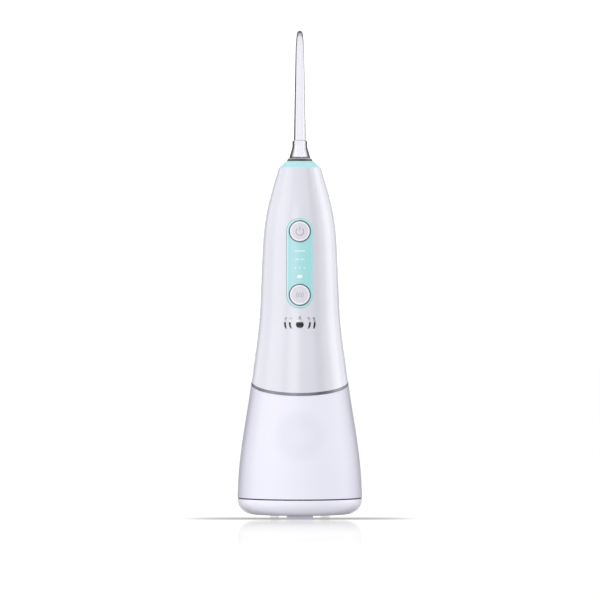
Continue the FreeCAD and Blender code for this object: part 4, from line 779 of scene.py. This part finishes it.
def make_pieces():
    make_spring()
    make_icons(icon_ink())
    make_rims(cap_rim())
    make_panel_edge(teal_edge())
    # The ribs take the panel edge's painted highlight teal, and the lips the near white of the button
    # rims' painted highlight.
    make_grips(teal_edge(), cap_rim())
    make_panel_groove(joint_shade())


# ---------------------------------------------------------------- stage, light and camera


# The camera's distance from the object's axis, and the width and the centre (X, Z) that it shows there.
AXIS_DISTANCE = 2.513
VIEW_WIDTH = 0.3528
VIEW_CENTRE = (0.0001, 0.1278)

# The world's brightness as each kind of ray sees it.
SEEN_LEVEL = 1.3
CLEAR_LEVEL = 0.95
MATT_LEVEL = 0.9
MATT_LEVEL_BELOW = 0.37

# Name, angle, distance, height, (width, height) and radiance.
SOFTBOXES = (
    ("key_left", -63.0, 1.0, 0.28, (0.8, 1.1), 0.9),
    ("fill_right", 97.0, 0.9, 0.25, (0.5, 1.1), 1.5),
    ("front_left", -15.0, 1.6, 0.35, (0.7, 0.9), 1.5),
)
LAMP_TARGET = (0.0, 0.0, 0.13)

# Name, angle, distance, height, (width, height) and shade. Only reflections see these.
CARDS = (
    ("dark_right", 48.0, 1.1, 0.2, (0.42, 1.6), 0.28),
    ("edge_left", -147.0, 0.9, 0.25, (0.42, 1.4), 0.35),
    ("edge_right", 150.0, 0.9, 0.25, (0.3, 1.4), 0.3),
)
# The same for the flags, which are seen only through clear plastic and face the nozzle.
FLAGS = (
    ("flag_left", -114.0, 0.9, 0.25, (0.8, 1.6), 0.15),
    ("flag_right", 117.0, 0.9, 0.25, (1.05, 1.6), 0.01),
    ("flag_top", 180.0, 0.5, 0.85, (0.5, 0.5), 0.0),
)
NOZZLE_HEIGHT = 0.25

FLOOR_HALF = 8.0
FLOOR_GLOW = 0.93
FLOOR_SHADE = 0.1
MIRROR_ROUGH = 0.06
MIRROR_SHARE = 0.6
MIRROR_FADE = 0.16
# The painted shadow line under the object: its centre in Y, half its depth, half its length, and how
# much of it shows.
SHADOW_LINE_PLACE = -0.014
SHADOW_LINE_DEPTH = 0.017
SHADOW_LINE_REACH = 0.072
SHADOW_LINE_SHARE = 0.9


def make_camera():
    data = bpy.data.cameras.new("camera")
    data.sensor_width = 36.0
    data.lens = data.sensor_width * AXIS_DISTANCE / VIEW_WIDTH
    data.clip_start, data.clip_end = 0.1, 50.0
    camera = bpy.data.objects.new("camera", data)
    camera.location = (VIEW_CENTRE[0], -AXIS_DISTANCE, VIEW_CENTRE[1])
    camera.rotation_euler = (math.radians(90.0), 0.0, 0.0)
    bpy.context.scene.collection.objects.link(camera)
    bpy.context.scene.camera = camera


def aim(thing, place, target):
    thing.location = place
    thing.rotation_euler = (Vector(target) - Vector(place)).to_track_quat("-Z", "Y").to_euler()


def round_place(angle, distance, height):
    """A place round the object: angle 0 is towards the camera and positive to the right."""
    turn = math.radians(angle)
    return (distance * math.sin(turn), -distance * math.cos(turn), height)


def softbox(name, angle, distance, height, size, radiance):
    data = bpy.data.lights.new(name, "AREA")
    data.shape, data.size, data.size_y = "RECTANGLE", size[0], size[1]
    data.energy = radiance * math.pi * size[0] * size[1]
    lamp = bpy.data.objects.new(name, data)
    bpy.context.scene.collection.objects.link(lamp)
    aim(lamp, round_place(angle, distance, height), LAMP_TARGET)
    lamp.visible_camera = False


def rectangle(name, half, tall):
    """A flat object about its own origin, half its width and half its height given."""
    mesh = bpy.data.meshes.new(name)
    corners = [(-half, -tall, 0.0), (half, -tall, 0.0), (half, tall, 0.0), (-half, tall, 0.0)]
    mesh.from_pydata(corners, [], [(0, 1, 2, 3)])
    made = bpy.data.objects.new(name, mesh)
    bpy.context.scene.collection.objects.link(made)
    return made


def bare_material(name):
    """A material with no nodes in it yet."""
    material = bpy.data.materials.new(name)
    material.use_nodes = True
    material.node_tree.nodes.clear()
    return material


def card(name, angle, distance, height, size, shade, through=False):
    """A flat card. Only reflections see it, or with through it is seen only through clear plastic."""
    made = rectangle(name, size[0] / 2, size[1] / 2)
    material = bare_material(name)
    tree = material.node_tree
    glow = tree.nodes.new("ShaderNodeEmission")
    glow.inputs["Color"].default_value = (shade, shade, shade * 1.03, 1.0)
    out = tree.nodes.new("ShaderNodeOutputMaterial")
    tree.links.new(glow.outputs[0], out.inputs[0])
    made.data.materials.append(material)
    aim(made, round_place(angle, distance, height), (0.0, 0.0, NOZZLE_HEIGHT if through else height))
    made.visible_camera = False
    made.visible_glossy = not through
    made.visible_transmission = through
    made.visible_diffuse = False
    made.visible_shadow = False
    made.visible_volume_scatter = False


def make_world():
    """White all round, and softer on matt surfaces, least of all from straight below."""
    world = bpy.data.worlds.new("studio")
    bpy.context.scene.world = world
    world.use_nodes = True
    tree = world.node_tree
    back = tree.nodes["Background"]
    back.inputs["Color"].default_value = (1.0, 1.0, 1.0, 1.0)
    rays = tree.nodes.new("ShaderNodeLightPath")
    place = tree.nodes.new("ShaderNodeTexCoord")
    split = tree.nodes.new("ShaderNodeSeparateXYZ")
    tree.links.new(place.outputs["Generated"], split.inputs[0])
    rise = tree.nodes.new("ShaderNodeMapRange")
    rise.inputs["From Min"].default_value = -1.0
    rise.inputs["From Max"].default_value = -0.2
    rise.inputs["To Min"].default_value = MATT_LEVEL_BELOW
    rise.inputs["To Max"].default_value = MATT_LEVEL
    tree.links.new(split.outputs["Z"], rise.inputs["Value"])
    clear = tree.nodes.new("ShaderNodeMapRange")
    clear.inputs["To Min"].default_value = SEEN_LEVEL
    clear.inputs["To Max"].default_value = CLEAR_LEVEL
    tree.links.new(rays.outputs["Is Transmission Ray"], clear.inputs["Value"])
    level = tree.nodes.new("ShaderNodeMapRange")
    tree.links.new(clear.outputs["Result"], level.inputs["To Min"])
    tree.links.new(rise.outputs["Result"], level.inputs["To Max"])
    tree.links.new(rays.outputs["Is Diffuse Ray"], level.inputs["Value"])
    tree.links.new(level.outputs["Result"], back.inputs["Strength"])


def make_floor():
    """A glossy floor. Its mirror image fades with distance. A grey shadow line is painted under the
    object.
    """
    floor = rectangle("floor", FLOOR_HALF, FLOOR_HALF)
    floor.visible_diffuse = False
    material = bare_material("floor")
    new, link = material.node_tree.nodes.new, material.node_tree.links.new
    place = new("ShaderNodeTexCoord").outputs["Object"]

    def math_node(operation, first, second=0.0, clamp=False):
        made = new("ShaderNodeMath")
        made.operation, made.use_clamp = operation, clamp
        for socket, value in zip(made.inputs, (first, second)):
            if isinstance(value, float):
                socket.default_value = value
            else:
                link(value, socket)
        return made.outputs[0]

    length = new("ShaderNodeVectorMath")
    length.operation = "LENGTH"
    link(place, length.inputs[0])
    fade = math_node("EXPONENT", math_node("DIVIDE", length.outputs["Value"], -MIRROR_FADE))
    split = new("ShaderNodeSeparateXYZ")
    link(place, split.inputs[0])
    across = math_node("DIVIDE", math_node("SUBTRACT", split.outputs["Y"], SHADOW_LINE_PLACE), SHADOW_LINE_DEPTH)
    band = math_node("SUBTRACT", 1.0, math_node("POWER", math_node("ABSOLUTE", across), 4.0), clamp=True)
    along = math_node("DIVIDE", math_node("ABSOLUTE", split.outputs["X"]), SHADOW_LINE_REACH)
    ends = math_node("SUBTRACT", 1.0, math_node("POWER", along, 5.0), clamp=True)
    line = math_node("MULTIPLY", math_node("MULTIPLY", band, ends), SHADOW_LINE_SHARE)
    off_line = math_node("SUBTRACT", 1.0, line)
    share = math_node("MULTIPLY", math_node("MULTIPLY", fade, MIRROR_SHARE), off_line)
    white = new("ShaderNodeEmission")
    white.inputs["Color"].default_value = (1.0, 1.0, 1.0, 1.0)
    white.inputs["Strength"].default_value = FLOOR_GLOW
    matt = new("ShaderNodeBsdfDiffuse")
    matt.inputs["Color"].default_value = (FLOOR_SHADE, FLOOR_SHADE, FLOOR_SHADE, 1.0)
    pale = new("ShaderNodeAddShader")
    link(white.outputs[0], pale.inputs[0])
    link(matt.outputs[0], pale.inputs[1])
    # Painted shadow: the grey-brown colour of the line under the object.
    shade = new("ShaderNodeEmission")
    shade.inputs["Color"].default_value = (*srgb(166, 160, 157), 1.0)
    lined = new("ShaderNodeMixShader")
    link(line, lined.inputs["Fac"])
    link(pale.outputs[0], lined.inputs[1])
    link(shade.outputs[0], lined.inputs[2])
    mirror = new("ShaderNodeBsdfGlossy")
    mirror.inputs["Color"].default_value = (1.0, 1.0, 1.0, 1.0)
    mirror.inputs["Roughness"].default_value = MIRROR_ROUGH
    mix = new("ShaderNodeMixShader")
    link(share, mix.inputs["Fac"])
    link(lined.outputs[0], mix.inputs[1])
    link(mirror.outputs[0], mix.inputs[2])
    out = new("ShaderNodeOutputMaterial")
    link(mix.outputs[0], out.inputs["Surface"])
    floor.data.materials.append(material)


def make_stage():
    bpy.context.scene.view_settings.view_transform = "Standard"
    make_camera()
    make_world()
    make_floor()
    for row in SOFTBOXES:
        softbox(*row)
    for row in CARDS:
        card(*row)
    for row in FLAGS:
        card(*row, through=True)


# ---------------------------------------------------------------- the whole


def build():
    materials = make_materials()
    dress(materials)
    make_pieces()
    make_stage()


build()
